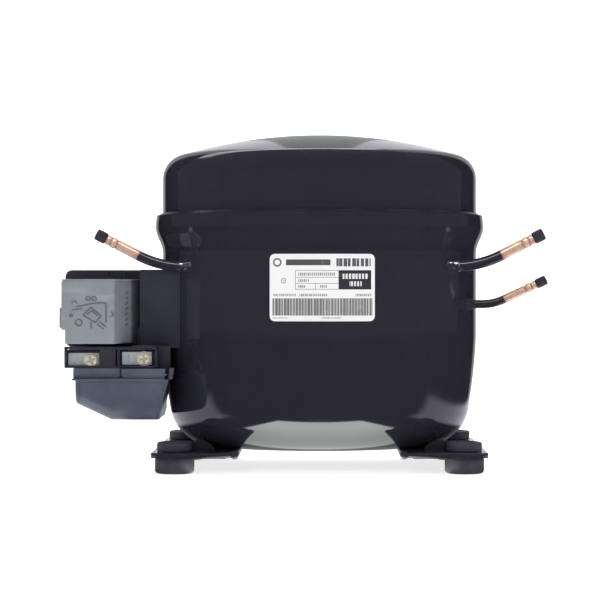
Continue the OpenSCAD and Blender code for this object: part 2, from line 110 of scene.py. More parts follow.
class TubeSettings(bpy.types.PropertyGroup):
    """Sizes shared by the three tubes, in millimetres."""

    bare: length("Bare End", "Unpainted length at the open end", 20.8, 5, 40)
    fillet: length("Braze Fillet", "Width of the brazed ring at the wall", 1.3, 1, 8)
    sides: IntProperty(name="Sides", description="Facets round a tube", default=40, min=12, max=96)


class StartGearSettings(bpy.types.PropertyGroup):
    """Sizes of the start gear's mouldings, in millimetres."""

    wall: length("Wall", "Wall of the moulded covers", 2.0, 1, 4)
    edge: length("Edge", "Radius of the moulded edges", 0.9, 0.1, 3)
    emboss: length("Emboss", "Height of the raised diagram", 0.45, 0.1, 1)


class ColourSettings(bpy.types.PropertyGroup):
    """Colours of the finishes."""

    enamel: colour("Enamel", "Baked enamel of the housing", (0.0190, 0.0182, 0.0255))
    rubber: colour("Rubber", "Moulded rubber feet", (0.040, 0.040, 0.056))
    plug: colour("Plug", "Rubber end plugs", (0.020, 0.020, 0.028))
    copper: colour("Copper", "Drawn copper of the tubes", (0.88, 0.58, 0.45))
    grey: colour("Grey Cover", "Moulded cover of the start relay", (0.235, 0.258, 0.284))
    slate: colour("Slate", "Dark moulded lower cover", (0.066, 0.078, 0.104))
    black: colour("Black", "Black mouldings", (0.0235, 0.0235, 0.034))
    paper: colour("Label", "Label stock", (0.80, 0.79, 0.79))
    ink: colour("Ink", "Print on the label", (0.03, 0.032, 0.045))


class StageSettings(bpy.types.PropertyGroup):
    """Floor, lights and camera."""

    distance: length("Distance", "Camera distance from the middle of the object", 1250.0, 300, 5000)
    height: length("Height", "Camera height above the floor", 105.0, 0, 1000)
    lens: FloatProperty(name="Lens", description="Focal length", default=120.7, min=20, max=400)
    floor: colour("Floor", "Floor and backdrop", (0.90, 0.90, 0.90))


class CompressorSettings(bpy.types.PropertyGroup):
    """All the settings of the compressor."""

    housing: PointerProperty(type=HousingSettings)
    feet: PointerProperty(type=FootSettings)
    tubes: PointerProperty(type=TubeSettings)
    start_gear: PointerProperty(type=StartGearSettings)
    colours: PointerProperty(type=ColourSettings)
    stage: PointerProperty(type=StageSettings)


# ------------------------------------------------------------------ mesh tools


def arc(cx, cz, radius, start, end, count):
    """Points along an arc, with the angles in degrees."""
    angles = [math.radians(start + (end - start) * i / count) for i in range(count + 1)]
    return [(cx + radius * math.cos(a), cz + radius * math.sin(a)) for a in angles]


def lathe(profile, steps=64, squeeze=1.0):
    """Spins a closed outline of (radius, height) points round Z."""
    bm = bmesh.new()
    verts = [bm.verts.new((r, 0, z)) for r, z in profile]
    ends = zip(verts, verts[1:] + verts[:1])
    edges = [bm.edges.new(pair) for pair in ends if (pair[0].co - pair[1].co).length > 1e-4]
    bmesh.ops.spin(
        bm, geom=verts + edges, cent=(0, 0, 0), axis=(0, 0, 1), angle=math.tau, steps=steps,
        use_merge=True,
    )
    bmesh.ops.remove_doubles(bm, verts=bm.verts, dist=1e-3)
    lines = [e for e in bm.edges if not e.link_faces]
    bmesh.ops.delete(bm, geom=lines, context="EDGES")
    bmesh.ops.scale(bm, vec=(1, squeeze, 1), verts=bm.verts)
    bmesh.ops.recalc_face_normals(bm, faces=bm.faces)
    return bm


def aim(bm, at, direction=(0, 0, 1)):
    """Turns a shape's Z axis to a direction and puts its origin at a point."""
    turn = Vector((0, 0, 1)).rotation_difference(Vector(direction)).to_matrix().to_4x4()
    bmesh.ops.transform(bm, matrix=Matrix.Translation(at) @ turn, verts=bm.verts)
    return bm


def block(low, high, soft=0.0, segments=3):
    """A box between two corners, its edges rounded by soft."""
    bm = bmesh.new()
    low, high = Vector(low), Vector(high)
    bmesh.ops.create_cube(bm, size=1.0)
    bmesh.ops.scale(bm, vec=high - low, verts=bm.verts)
    bmesh.ops.translate(bm, vec=(low + high) / 2, verts=bm.verts)
    return soften(bm, soft, segments)


def soften(bm, width, segments=3, pick=None):
    """Rounds the sharp edges, or those that pick chooses."""
    if width > 0:
        edges = [
            e for e in bm.edges
            if e.is_manifold and e.calc_face_angle(0) > 0.5 and (pick is None or pick(e))
        ]
        bmesh.ops.bevel(
            bm, geom=edges, offset=width, offset_type="OFFSET", segments=segments, profile=0.5,
            affect="EDGES", material=-1, clamp_overlap=True,
        )
    return bm


def rod(at, direction, radius, height, soft=0.0, sides=48):
    """A round bar from a point along a direction."""
    soft = min(soft, radius * 0.4, height * 0.4)
    edge = arc(radius - soft, soft, soft, -90, 0, 4) if soft else [(radius, 0)]
    top = arc(radius - soft, height - soft, soft, 0, 90, 4) if soft else [(radius, height)]
    return aim(lathe([(0, 0), *edge, *top, (0, height)], sides), at, direction)


def prism(outline, axis, start, end, soft=0.0, segments=3):
    """Extrudes a flat outline: of XY points along Z, XZ points along Y or YZ points along X."""
    place = {
        "Z": lambda a, b, c: (a, b, c),
        "Y": lambda a, b, c: (a, c, b),
        "X": lambda a, b, c: (c, a, b),
    }[axis]
    bm = bmesh.new()
    face = bm.faces.new([bm.verts.new(place(a, b, start)) for a, b in outline])
    grown = bmesh.ops.extrude_face_region(bm, geom=[face])
    moved = [v for v in grown["geom"] if isinstance(v, bmesh.types.BMVert)]
    bmesh.ops.translate(bm, verts=moved, vec=place(0, 0, end - start))
    bmesh.ops.recalc_face_normals(bm, faces=bm.faces)
    return soften(bm, soft, segments)


def rounded_outline(low, high, radius, count=6):
    """A rectangle with round corners, as points."""
    (x0, y0), (x1, y1) = low, high
    return (
        arc(x1 - radius, y1 - radius, radius, 0, 90, count)
        + arc(x0 + radius, y1 - radius, radius, 90, 180, count)
        + arc(x0 + radius, y0 + radius, radius, 180, 270, count)
        + arc(x1 - radius, y0 + radius, radius, 270, 360, count)
    )


def sweep(stations, sides=32):
    """Skins circles of (centre, heading, radius, distance) and closes both ends."""
    bm = bmesh.new()
    along = bm.verts.layers.float.new("along")
    before = None
    for centre, heading, radius, distance in stations:
        turn = Vector(heading).to_track_quat("Z", "Y").to_matrix().to_4x4()
        ring = bmesh.ops.create_circle(
            bm, radius=radius, segments=sides, matrix=Matrix.Translation(centre) @ turn
        )["verts"]
        for vert in ring:
            vert[along] = distance
        edges = list({e for v in ring for e in v.link_edges})
        if before:
            bmesh.ops.bridge_loops(bm, edges=before + edges)
        before = edges
    bmesh.ops.holes_fill(bm, edges=bm.edges, sides=0)
    bmesh.ops.recalc_face_normals(bm, faces=bm.faces)
    return bm


def joined(parts):
    """One bmesh from several."""
    whole = bmesh.new()
    for part in parts:
        mesh = bpy.data.meshes.new("part")
        part.to_mesh(mesh)
        part.free()
        whole.from_mesh(mesh)
        bpy.data.meshes.remove(mesh)
    return whole


def carved(bm, cutters):
    """The shape with the cutters taken out of it, one after another."""
    for cutter in cutters:
        objects = []
        for name, shape in (("carved", bm), ("cutter", cutter)):
            bmesh.ops.remove_doubles(shape, verts=shape.verts, dist=1e-4)
            bmesh.ops.recalc_face_normals(shape, faces=shape.faces)
            mesh = bpy.data.meshes.new(name)
            shape.to_mesh(mesh)
            shape.free()
            objects.append(bpy.data.objects.new(name, mesh))
            bpy.context.collection.objects.link(objects[-1])
        cut = objects[0].modifiers.new("cut", "BOOLEAN")
        cut.operation, cut.object, cut.solver = "DIFFERENCE", objects[1], "EXACT"
        graph = bpy.context.evaluated_depsgraph_get()
        bm = bmesh.new()
        bm.from_mesh(objects[0].evaluated_get(graph).to_mesh())
        for obj in objects:
            mesh = obj.data
            bpy.data.objects.remove(obj)
            bpy.data.meshes.remove(mesh)
    return bm


def make_piece(name, bm, materials, body, replaces=(), sharp=40, weighted=False):
    """Turns a shape in millimetres into a piece of the model that rides on a CAD body."""
    bmesh.ops.scale(bm, vec=(MM, MM, MM), verts=bm.verts)
    for face in bm.faces:
        face.smooth = True
    for edge in bm.edges:
        edge.smooth = not edge.is_manifold or edge.calc_face_angle(0) < math.radians(sharp)
    mesh = bpy.data.meshes.new(name)
    bm.to_mesh(mesh)
    bm.free()
    for material in materials if isinstance(materials, (list, tuple)) else [materials]:
        mesh.materials.append(material)
    piece = bpy.data.objects.new(name, mesh)
    bpy.context.collection.objects.link(piece)
    if weighted:
        modifier = piece.modifiers.new("Flat Faces", "WEIGHTED_NORMAL")
        modifier.keep_sharp = True
    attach(piece, body)
    if replaces:
        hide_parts(*([replaces] if isinstance(replaces, str) else replaces))
    return piece


def dress(nodes, material):
    """Gives CAD nodes that keep their own shape a material."""
    for node in nodes.split():
        obj = frame["nodes"][node]
        if not obj.material_slots:
            obj.data.materials.append(material)
        for place in obj.material_slots:
            place.material = material


# ------------------------------------------------------------------ shader tools


class Wiring:
    """Adds nodes to a tree and wires them by the names of their sockets."""

    def __init__(self, tree):
        self.tree = tree

    def node(self, kind, inputs=None, **settings):
        made = self.tree.nodes.new(kind)
        for key, value in settings.items():
            setattr(made, key, value)
        for key, value in (inputs or {}).items():
            self.feed(made.inputs[key], value)
        return made

    def feed(self, socket, value):
        if isinstance(value, bpy.types.NodeSocket):
            self.tree.links.new(value, socket)
        elif value is not None:
            socket.default_value = value

    def math(self, operation, a, b=0.0, clamp=False):
        made = self.node("ShaderNodeMath", {0: a, 1: b}, operation=operation, use_clamp=clamp)
        return made.outputs[0]

    def step(self, value, low, high):
        """A smooth mask that rises from 0 at low to 1 at high."""
        made = self.node(
            "ShaderNodeMapRange", {"Value": value, "From Min": low, "From Max": high},
            interpolation_type="SMOOTHSTEP",
        )
        return made.outputs["Result"]

    def mix(self, factor, a, b):
        made = self.node("ShaderNodeMix", {"Factor": factor}, data_type="RGBA")
        self.feed(made.inputs[6], a)
        self.feed(made.inputs[7], b)
        return made.outputs[2]

    def blend(self, factor, a, b):
        made = self.node("ShaderNodeMix", {0: factor, 2: a, 3: b}, data_type="FLOAT")
        return made.outputs[0]

    def noise(self, scale, detail=3.0, stretch=(1, 1, 1), rough=0.55):
        place = self.node("ShaderNodeTexCoord").outputs["Object"]
        if tuple(stretch) != (1, 1, 1):
            place = self.node(
                "ShaderNodeMapping", {"Vector": place, "Scale": stretch}
            ).outputs["Vector"]
        made = self.node(
            "ShaderNodeTexNoise",
            {"Vector": place, "Scale": scale, "Detail": detail, "Roughness": rough},
        )
        return made.outputs["Fac"]


def effect(name, inputs, outputs, build):
    """A shader node group, built once: its builder gets the wiring and the two ends."""
    tree = bpy.data.node_groups.get(name)
    if tree:
        return tree
    tree = bpy.data.node_groups.new(name, "ShaderNodeTree")
    kinds = {"value": "NodeSocketFloat", "colour": "NodeSocketColor", "vector": "NodeSocketVector"}
    for socket, kind, default in inputs:
        made = tree.interface.new_socket(socket, in_out="INPUT", socket_type=kinds[kind])
        if default is not None:
            made.default_value = default
    for socket, kind in outputs:
        tree.interface.new_socket(socket, in_out="OUTPUT", socket_type=kinds[kind])
    w = Wiring(tree)
    build(w, w.node("NodeGroupInput").outputs, w.node("NodeGroupOutput").inputs)
    return tree


def build_variation(w, given, out):
    """Slow and fine changes of colour and gloss over a surface."""
    place = w.node("ShaderNodeTexCoord").outputs["Object"]

    def cloud(size):
        return w.node(
            "ShaderNodeTexNoise",
            {"Vector": place, "Scale": size, "Detail": 4.0, "Roughness": 0.6},
        ).outputs["Fac"]

    slow = cloud(w.math("MULTIPLY", given["Scale"], 0.12))
    fine = cloud(given["Scale"])
    both = w.math("ADD", w.math("MULTIPLY", slow, 0.6), w.math("MULTIPLY", fine, 0.4))
    mask = w.step(both, 0.36, 0.64)
    w.feed(out["Color"], w.mix(w.math("MULTIPLY", mask, given["Amount"]), given["Base"], given["Tint"]))
    swing = w.math("MULTIPLY", w.math("SUBTRACT", both, 0.5), given["Gloss Spread"])
    w.feed(out["Roughness"], w.math("ADD", given["Roughness"], swing, clamp=True))


def build_relief(w, given, out):
    """Fine bumps of one size."""
    place = w.node("ShaderNodeTexCoord").outputs["Object"]
    grain = w.node(
        "ShaderNodeTexNoise",
        {"Vector": place, "Scale": given["Scale"], "Detail": 2.0, "Roughness": 0.5},
    ).outputs["Fac"]
    bump = w.node(
        "ShaderNodeBump",
        {"Height": grain, "Strength": given["Strength"], "Distance": given["Depth"]},
    )
    w.feed(out["Normal"], bump.outputs["Normal"])


def build_dust(w, given, out):
    """Dust that settles on what faces up."""
    up = w.node(
        "ShaderNodeSeparateXYZ",
        {0: w.node("ShaderNodeNewGeometry").outputs["Normal"]},
    ).outputs["Z"]
    level = w.step(up, 0.1, 1.0)
    specks = w.step(w.noise(2600.0, 2.0), 0.6, 0.78)
    film = w.step(w.noise(45.0, 4.0), 0.35, 0.75)
    both = w.math("ADD", w.math("MULTIPLY", specks, 0.6), w.math("MULTIPLY", film, 0.4))
    w.feed(out["Mask"], w.math("MULTIPLY", w.math("MULTIPLY", both, level), given["Amount"], clamp=True))


def build_scuffs(w, given, out):
    """Hairline scratches in two directions, and rubbed patches."""
    one = w.step(w.noise(90.0, 6.0, (1, 1, 14)), 0.66, 0.74)
    two = w.step(w.noise(80.0, 6.0, (12, 3, 1)), 0.67, 0.75)
    patch = w.step(w.noise(18.0, 3.0), 0.5, 0.7)
    lines = w.math("MULTIPLY", w.math("MAXIMUM", one, two), patch)
    w.feed(out["Mask"], w.math("MULTIPLY", lines, given["Amount"], clamp=True))


def variation(w, base, tint, scale, amount, rough, spread):
    tree = effect(
        "Surface Variation",
        [("Base", "colour", (0.5, 0.5, 0.5, 1)), ("Tint", "colour", (0.4, 0.4, 0.4, 1)),
         ("Scale", "value", 100.0), ("Amount", "value", 0.5), ("Roughness", "value", 0.5),
         ("Gloss Spread", "value", 0.1)],
        [("Color", "colour"), ("Roughness", "value")], build_variation,
    )
    made = w.node("ShaderNodeGroup", None, node_tree=tree)
    for key, value in (("Base", base), ("Tint", tint), ("Scale", scale), ("Amount", amount),
                       ("Roughness", rough), ("Gloss Spread", spread)):
        w.feed(made.inputs[key], value)
    return made.outputs["Color"], made.outputs["Roughness"]


def relief(w, scale, strength, depth):
    tree = effect(
        "Fine Relief",
        [("Scale", "value", 500.0), ("Strength", "value", 0.2), ("Depth", "value", 0.0001)],
        [("Normal", "vector")], build_relief,
    )
    made = w.node("ShaderNodeGroup", None, node_tree=tree)
    for key, value in (("Scale", scale), ("Strength", strength), ("Depth", depth)):
        w.feed(made.inputs[key], value)
    return made.outputs["Normal"]


def masked(w, name, builder, amount):
    tree = effect(name, [("Amount", "value", 0.3)], [("Mask", "value")], builder)
    made = w.node("ShaderNodeGroup", None, node_tree=tree)
    w.feed(made.inputs["Amount"], amount)
    return made.outputs["Mask"]


def rgba(rgb, factor=1.0):
    """A colour with alpha, made lighter or darker by a factor."""
    return (*[min(1.0, c * factor) for c in rgb], 1.0)


def start_material(name):
    """A new material with its wiring and its Principled BSDF."""
    material = bpy.data.materials.new(name)
    material.use_nodes = True
    material.node_tree.nodes.clear()
    w = Wiring(material.node_tree)
    surface = w.node("ShaderNodeBsdfPrincipled")
    w.node("ShaderNodeOutputMaterial", {"Surface": surface.outputs["BSDF"]})
    return material, w, surface.inputs


def finish(name, base, rough, metallic=0.0, tint=0.7, scale=120.0, amount=0.5, spread=0.12,
           grain=900.0, bump=0.15, depth=0.00005, coat=0.0, coat_rough=0.05, dust=0.0, scuffs=0.0,
           worn=None):
    """A material with uneven colour and gloss, fine relief, dust and scuffs."""
    known = bpy.data.materials.get(name)
    if known:
        return known
    material, w, surface = start_material(name)
    col, gloss = variation(w, rgba(base), rgba(base, tint), scale, amount, rough, spread)
    if scuffs:
        mask = masked(w, "Scuffs", build_scuffs, scuffs)
        col = w.mix(mask, col, rgba(worn or base, 1.0 if worn else 2.5))
        gloss = w.math("ADD", gloss, w.math("MULTIPLY", mask, 0.2), clamp=True)
    if dust:
        mask = masked(w, "Settled Dust", build_dust, dust)
        col = w.mix(mask, col, (0.42, 0.41, 0.39, 1))
        gloss = w.math("ADD", gloss, w.math("MULTIPLY", mask, 0.4), clamp=True)
    w.feed(surface["Base Color"], col)
    w.feed(surface["Roughness"], gloss)
    surface["Metallic"].default_value = metallic
    surface["Coat Weight"].default_value = coat
    surface["Coat Roughness"].default_value = coat_rough
    w.feed(surface["Normal"], relief(w, grain, bump, depth))
    return material


def banded(name, base, dark, axis, bands, rough, metallic, bump=0.4):
    """Thin parallel lines across one axis, as on stacked sheets, turned metal or wound wire."""
    known = bpy.data.materials.get(name)
    if known:
        return known
    material, w, surface = start_material(name)
    place = w.node("ShaderNodeTexCoord").outputs["Object"]
    wave = w.node(
        "ShaderNodeTexWave", {"Vector": place, "Scale": bands, "Distortion": 0.6, "Detail": 2.0},
        wave_type="BANDS", bands_direction=axis,
    ).outputs["Fac"]
    lines = w.step(wave, 0.1, 0.75)
    col, gloss = variation(w, rgba(base), rgba(base, 0.7), 160.0, 0.6, rough, 0.15)
    w.feed(surface["Base Color"], w.mix(lines, rgba(dark), col))
    w.feed(surface["Roughness"], gloss)
    surface["Metallic"].default_value = metallic
    height = w.node("ShaderNodeBump", {"Height": wave, "Strength": bump, "Distance": 0.0002})
    w.feed(surface["Normal"], height.outputs["Normal"])
    return material


def painted(name, base, rough=0.09, peel=1.0, dust=0.10, scuffs=0.12):
    """Baked gloss enamel: orange peel, faint haze, dust and hairlines."""
    known = bpy.data.materials.get(name)
    if known:
        return known
    material, w, surface = start_material(name)
    col, gloss = variation(w, rgba(base), rgba(base, 1.25), 60.0, 0.5, rough, 0.05)
    lines = masked(w, "Scuffs", build_scuffs, scuffs)
    col = w.mix(lines, col, rgba(base, 3.0))
    specks = masked(w, "Settled Dust", build_dust, dust)
    col = w.mix(specks, col, (0.30, 0.30, 0.31, 1))
    gloss = w.math("ADD", gloss, w.math("MULTIPLY", specks, 0.35), clamp=True)
    w.feed(surface["Base Color"], col)
    w.feed(surface["Roughness"], gloss)
    surface["Specular IOR Level"].default_value = 0.55
    surface["Coat Weight"].default_value = 0.35
    surface["Coat Roughness"].default_value = 0.04
    w.feed(surface["Normal"], relief(w, 420.0, 0.05 * peel, 0.00004))
    return material


def tube_paint(name, colours, bare):
    """Drawn copper with paint over the part near the housing, by the distance from the open end."""
    material, w, surface = start_material(name)
    along = w.node("ShaderNodeAttribute", attribute_name="along").outputs["Fac"]
    ragged = w.math("ADD", along, w.math("MULTIPLY", w.noise(300.0, 3.0), 0.9))
    paint = w.step(ragged, bare + 0.25, bare + 0.65)
    drawn = w.noise(260.0, 4.0, (1, 1, 1))
    bright = w.mix(w.step(drawn, 0.35, 0.7), rgba(colours.copper), rgba(colours.copper, 0.78))
    near_paint = w.math("MULTIPLY", w.step(along, bare - 3.0, bare + 0.4), 0.55)
    bright = w.mix(near_paint, bright, (0.30, 0.10, 0.05, 1))
    stain = w.step(w.noise(120.0, 5.0), 0.60, 0.74)
    bright = w.mix(w.math("MULTIPLY", stain, 0.3), bright, (0.34, 0.15, 0.08, 1))
    # Painted shade: the two grooves near the open end are coloured dark brown so they read as shaded recesses.
    for low, high in ((2.2, 3.5), (6.3, 7.5)):
        groove_shade = w.math("SUBTRACT", w.step(along, low, low + 0.3), w.step(along, high - 0.3, high))
        bright = w.mix(w.math("MULTIPLY", groove_shade, 0.6), bright, (0.24, 0.11, 0.07, 1))
    w.feed(surface["Base Color"], w.mix(paint, bright, rgba(colours.enamel)))
    w.feed(surface["Metallic"], w.mix(paint, (0.55, 0.55, 0.55, 1), (0, 0, 0, 1)))
    rough = w.math("ADD", 0.20, w.math("MULTIPLY", drawn, 0.12))
    w.feed(surface["Roughness"], w.blend(paint, rough, 0.10))
    w.feed(surface["Coat Weight"], w.math("MULTIPLY", paint, 0.6))
    surface["Coat Roughness"].default_value = 0.04
    w.feed(surface["Normal"], relief(w, 900.0, 0.18, 0.00004))
    return material


def braze(name, base):
    """Lumpy filler under paint, with bright metal where the paint is thin."""
    material, w, surface = start_material(name)
    lumps = w.noise(330.0, 3.0)
    worn = w.step(lumps, 0.60, 0.64)
    w.feed(surface["Base Color"], w.mix(worn, rgba(base), (0.55, 0.52, 0.47, 1)))
    w.feed(surface["Metallic"], worn)
    w.feed(surface["Roughness"], w.blend(worn, 0.22, 0.26))
    bump = w.node("ShaderNodeBump", {"Height": lumps, "Strength": 0.4, "Distance": 0.0004})
    w.feed(surface["Normal"], bump.outputs["Normal"])
    return material


def moulded(name, base, rough, tint=1.35, grain=2400.0, bump=0.35, dust=0.10, scuffs=0.25, coat=0.0):
    """Moulded plastic: fine spark-eroded grain, flow marks, rubbed patches and dust."""
    known = bpy.data.materials.get(name)
    if known:
        return known
    material, w, surface = start_material(name)
    col, gloss = variation(w, rgba(base), rgba(base, tint), 85.0, 0.7, rough, 0.16)
    flow = w.step(w.noise(26.0, 5.0, (1, 2.5, 6)), 0.52, 0.78)
    col = w.mix(w.math("MULTIPLY", flow, 0.22), col, rgba(base, 2.0))
    lines = masked(w, "Scuffs", build_scuffs, scuffs)
    col = w.mix(lines, col, rgba(base, 3.2))
    specks = masked(w, "Settled Dust", build_dust, dust)
    col = w.mix(specks, col, (0.40, 0.40, 0.40, 1))
    gloss = w.math("ADD", gloss, w.math("MULTIPLY", specks, 0.3), clamp=True)
    w.feed(surface["Base Color"], col)
    w.feed(surface["Roughness"], gloss)
    surface["Coat Weight"].default_value = coat
    surface["Coat Roughness"].default_value = 0.2
    w.feed(surface["Normal"], relief(w, grain, bump, 0.00005))
    return material


def plated(name, base, rough=0.32, bump=0.2, metallic=1.0):
    """Zinc or nickel plate: crystals, rub marks and a little tarnish."""
    known = bpy.data.materials.get(name)
    if known:
        return known
    material, w, surface = start_material(name)
    place = w.node("ShaderNodeTexCoord").outputs["Object"]
    crystal = w.node(
        "ShaderNodeTexVoronoi", {"Vector": place, "Scale": 900.0}, feature="F1",
    ).outputs["Color"]
    tone = w.node("ShaderNodeSeparateColor", {0: crystal}).outputs["Red"]
    col, gloss = variation(w, rgba(base), rgba(base, 0.66), 190.0, 0.6, rough, 0.22)
    col = w.mix(w.math("MULTIPLY", tone, 0.25), col, rgba(base, 1.25))
    w.feed(surface["Base Color"], col)
    w.feed(surface["Roughness"], gloss)
    surface["Metallic"].default_value = metallic
    w.feed(surface["Normal"], relief(w, 1100.0, bump, 0.00004))
    return material


class Print:
    """Masks of a plain printed layout, in millimetres from the label's lower left corner."""

    def __init__(self, w, left, low):
        self.w = w
        place = w.node("ShaderNodeTexCoord").outputs["Object"]
        axes = w.node("ShaderNodeSeparateXYZ", {0: place}).outputs
        self.u = w.math("MULTIPLY_ADD", axes["X"], 1000.0)
        self.u.node.inputs[2].default_value = -left
        self.v = w.math("MULTIPLY_ADD", axes["Z"], 1000.0)
        self.v.node.inputs[2].default_value = -low

    def between(self, value, low, high, soft=0.06):
        w = self.w
        rise = w.step(value, low - soft, low + soft)
        fall = w.step(value, high - soft, high + soft)
        return w.math("SUBTRACT", rise, fall)

    def patch(self, u0, u1, v0, v1):
        return self.w.math("MULTIPLY", self.between(self.u, u0, u1), self.between(self.v, v0, v1))

    def frame(self, u0, u1, v0, v1, line=0.28):
        outer = self.patch(u0, u1, v0, v1)
        inner = self.patch(u0 + line, u1 - line, v0 + line, v1 - line)
        return self.w.math("SUBTRACT", outer, inner)

    def blocks(self, u0, u1, v0, v1, pitch, share=0.68):
        """A row of plain upright blocks of uneven width."""
        w = self.w
        cell = w.math("DIVIDE", self.u, pitch)
        rnd = w.node("ShaderNodeTexWhiteNoise", {"W": w.math("FLOOR", cell)}, noise_dimensions="1D")
        wide = w.math("MULTIPLY_ADD", rnd.outputs["Value"], 0.3)
        wide.node.inputs[2].default_value = share - 0.15
        filled = w.math("LESS_THAN", w.math("FRACT", cell), wide)
        return w.math("MULTIPLY", self.patch(u0, u1, v0, v1), filled)

    def ring(self, u, v, radius, line):
        w = self.w
        du, dv = w.math("SUBTRACT", self.u, u), w.math("SUBTRACT", self.v, v)
        away = w.math("SQRT", w.math("ADD", w.math("MULTIPLY", du, du), w.math("MULTIPLY", dv, dv)))
        return self.between(away, radius - line, radius)


def label_print(colours, left, low):
    """Satin film with a plain header bar, a ruled table, a dark panel and a bar strip."""
    material, w, surface = start_material("label film")
    made = Print(w, left, low)

    def over(col, mask, ink, strength=1.0):
        if strength < 1.0:
            mask = w.math("MULTIPLY", mask, strength)
        return w.mix(mask, col, ink)

    paper, _ = variation(w, rgba(colours.paper), rgba(colours.paper, 0.93), 90.0, 0.8, 0.4, 0.1)
    ink, grey = rgba(colours.ink), (0.13, 0.13, 0.14, 1)
    col = over(paper, made.patch(9.4, 35.0, 32.2, 35.6), ink, 0.94)
    col = over(col, made.ring(4.4, 33.9, 2.5, 0.9), ink, 0.92)
    col = over(col, made.blocks(38.4, 58.2, 31.6, 36.2, 2.5, 0.78), ink, 0.92)
    col = over(col, made.frame(14.7, 39.9, 18.3, 29.4), grey)
    for line in (25.1, 21.7):
        col = over(col, made.patch(14.7, 39.9, line, line + 0.28), grey)
    col = over(col, made.patch(26.3, 26.6, 18.3, 21.8), grey)
    col = over(col, made.blocks(16.4, 38.0, 26.2, 28.0, 1.15), grey, 0.75)
    col = over(col, made.blocks(16.4, 22.5, 22.7, 24.2, 1.15), grey, 0.8)
    col = over(col, made.blocks(16.4, 20.5, 19.3, 20.8, 1.15), grey, 0.8)
    col = over(col, made.blocks(29.0, 33.2, 19.3, 20.8, 1.15), grey, 0.8)
    col = over(col, made.patch(39.8, 58.5, 18.3, 29.4), ink)
    col = over(col, made.blocks(42.0, 56.6, 24.4, 27.4, 1.9, 0.7), rgba(colours.paper), 0.9)
    col = over(col, made.blocks(46.0, 53.0, 20.2, 23.0, 1.8, 0.7), rgba(colours.paper), 0.9)
    col = over(col, made.ring(8.0, 23.3, 1.5, 0.4), grey)
    col = over(col, made.patch(7.4, 8.6, 23.1, 23.5), grey)
    col = over(col, made.blocks(2.2, 15.4, 14.4, 15.8, 1.1), grey, 0.7)
    col = over(col, made.blocks(17.2, 33.4, 14.4, 15.8, 1.2), ink, 0.7)
    col = over(col, made.blocks(49.4, 58.4, 14.4, 15.8, 1.2), grey, 0.8)
    col = over(col, made.blocks(1.6, 59.2, 3.3, 13.2, 0.62, 0.62), ink, 0.8)
    col = over(col, made.blocks(1.4, 59.2, 3.3, 13.2, 1.7, 0.5), (0.05, 0.05, 0.055, 1), 0.75)
    col = over(col, made.blocks(1.6, 10.4, 1.5, 2.4, 0.9), grey, 0.55)
    col = over(col, made.blocks(30.0, 41.0, 1.5, 2.4, 0.9), ink, 0.6)
    rubbed_and_shaded = w.step(w.noise(140.0, 5.0), 0.60, 0.78)
    col = w.mix(w.math("MULTIPLY", rubbed_and_shaded, 0.18), col, rgba(colours.paper, 0.95))
    w.feed(surface["Base Color"], col)
    w.feed(surface["Roughness"], w.math("MULTIPLY_ADD", w.noise(70.0, 3.0), 0.16))
    surface["Roughness"].links[0].from_node.inputs[2].default_value = 0.34
    w.feed(surface["Normal"], relief(w, 700.0, 0.08, 0.00003))
    return material


# ------------------------------------------------------------------ outlines


def housing_sizes():
    """Half length of the wall, rim radius, front-to-back squeeze, bottom, rim top and lid top."""
    lid_low, lid_high = span("upper_shell")
    low, high = span("lower_shell")
    return lid_high.x, high.x, lid_high.y / lid_high.x, low.z, high.z, lid_high.z


def lower_outline(s):
    """Closed outline of the lower half: outside going up, over the rim, inside going down."""
    half, rim, squeeze, base, rim_top, top = housing_sizes()
    cx, cz = half - s.draft - s.corner, base + s.corner
    corner = arc(cx, cz, s.corner, -90, -8.8, 26)
    foot_r, foot_z = corner[-1]
    rise = s.draft_top - foot_z
    lean = [
        (half - (half - foot_r) * (1 - i / 14) ** 1.5, foot_z + rise * i / 14) for i in range(1, 15)
    ]
    upright = [(half, s.draft_top + 4), (half, s.flare_low - 3)]
    flare = [
        (half + s.flare * (1 - math.cos(math.pi * i / 14)) / 2,
         s.flare_low + (145.5 - s.flare_low) * i / 14) for i in range(15)
    ]
    lip = [(rim - 0.1, 148), *arc(rim - 1.6, rim_top - 1.1, 1.1, 0, 100, 6), (half + 0.7, rim_top - 0.5)]
    outer = corner + lean + upright + flare + lip
    inner = [
        (half + 0.7, 144), (half - s.wall, 137), (half - s.wall, s.draft_top),
        (half - s.wall - 3.8, cz), *arc(cx, cz, s.corner - s.wall, -9, -90, 12),
    ]
    return [(0, base), (cx * 0.5, base), (cx - 1, base), *outer, *inner, (0, base + s.wall)]


def lid_outline(s):
    """Closed outline of the lid: wall, shoulder and crowned top, then back along the inside."""
    half, rim, squeeze, base, rim_top, top = housing_sizes()
    cx, cz = half - s.lid_corner, top - 26.5
    shoulder = arc(cx, cz, s.lid_corner, 0, 74, 26)
    edge, height = shoulder[-1]

    def crown(x):
        return top - (top - height) * (x / edge) ** 2

    over = [(edge * (1 - i / 22), crown(edge * (1 - i / 22))) for i in range(1, 23)]
    under = [(x, z - s.wall) for x, z in reversed(over)]
    inside = arc(cx, cz, s.lid_corner - s.wall, 74, 0, 10)
    wall = [(half, rim_top - 7), (half, rim_top), (half, rim_top + 6), (half, cz - 1)]
    return wall + shoulder + over + under + inside + [(half - s.wall, rim_top - 7)]


def on_wall(x, z_radius, squeeze):
    """Front depth of the oval of that half length at x."""
    return -squeeze * math.sqrt(max(z_radius ** 2 - x ** 2, 0.0))


# ------------------------------------------------------------------ operators


class PieceOperator:
    """What the piece operators share."""

    bl_options = {"REGISTER", "UNDO"}

    def execute(self, context):
        self.make(context.scene.compressor)
        return {"FINISHED"}


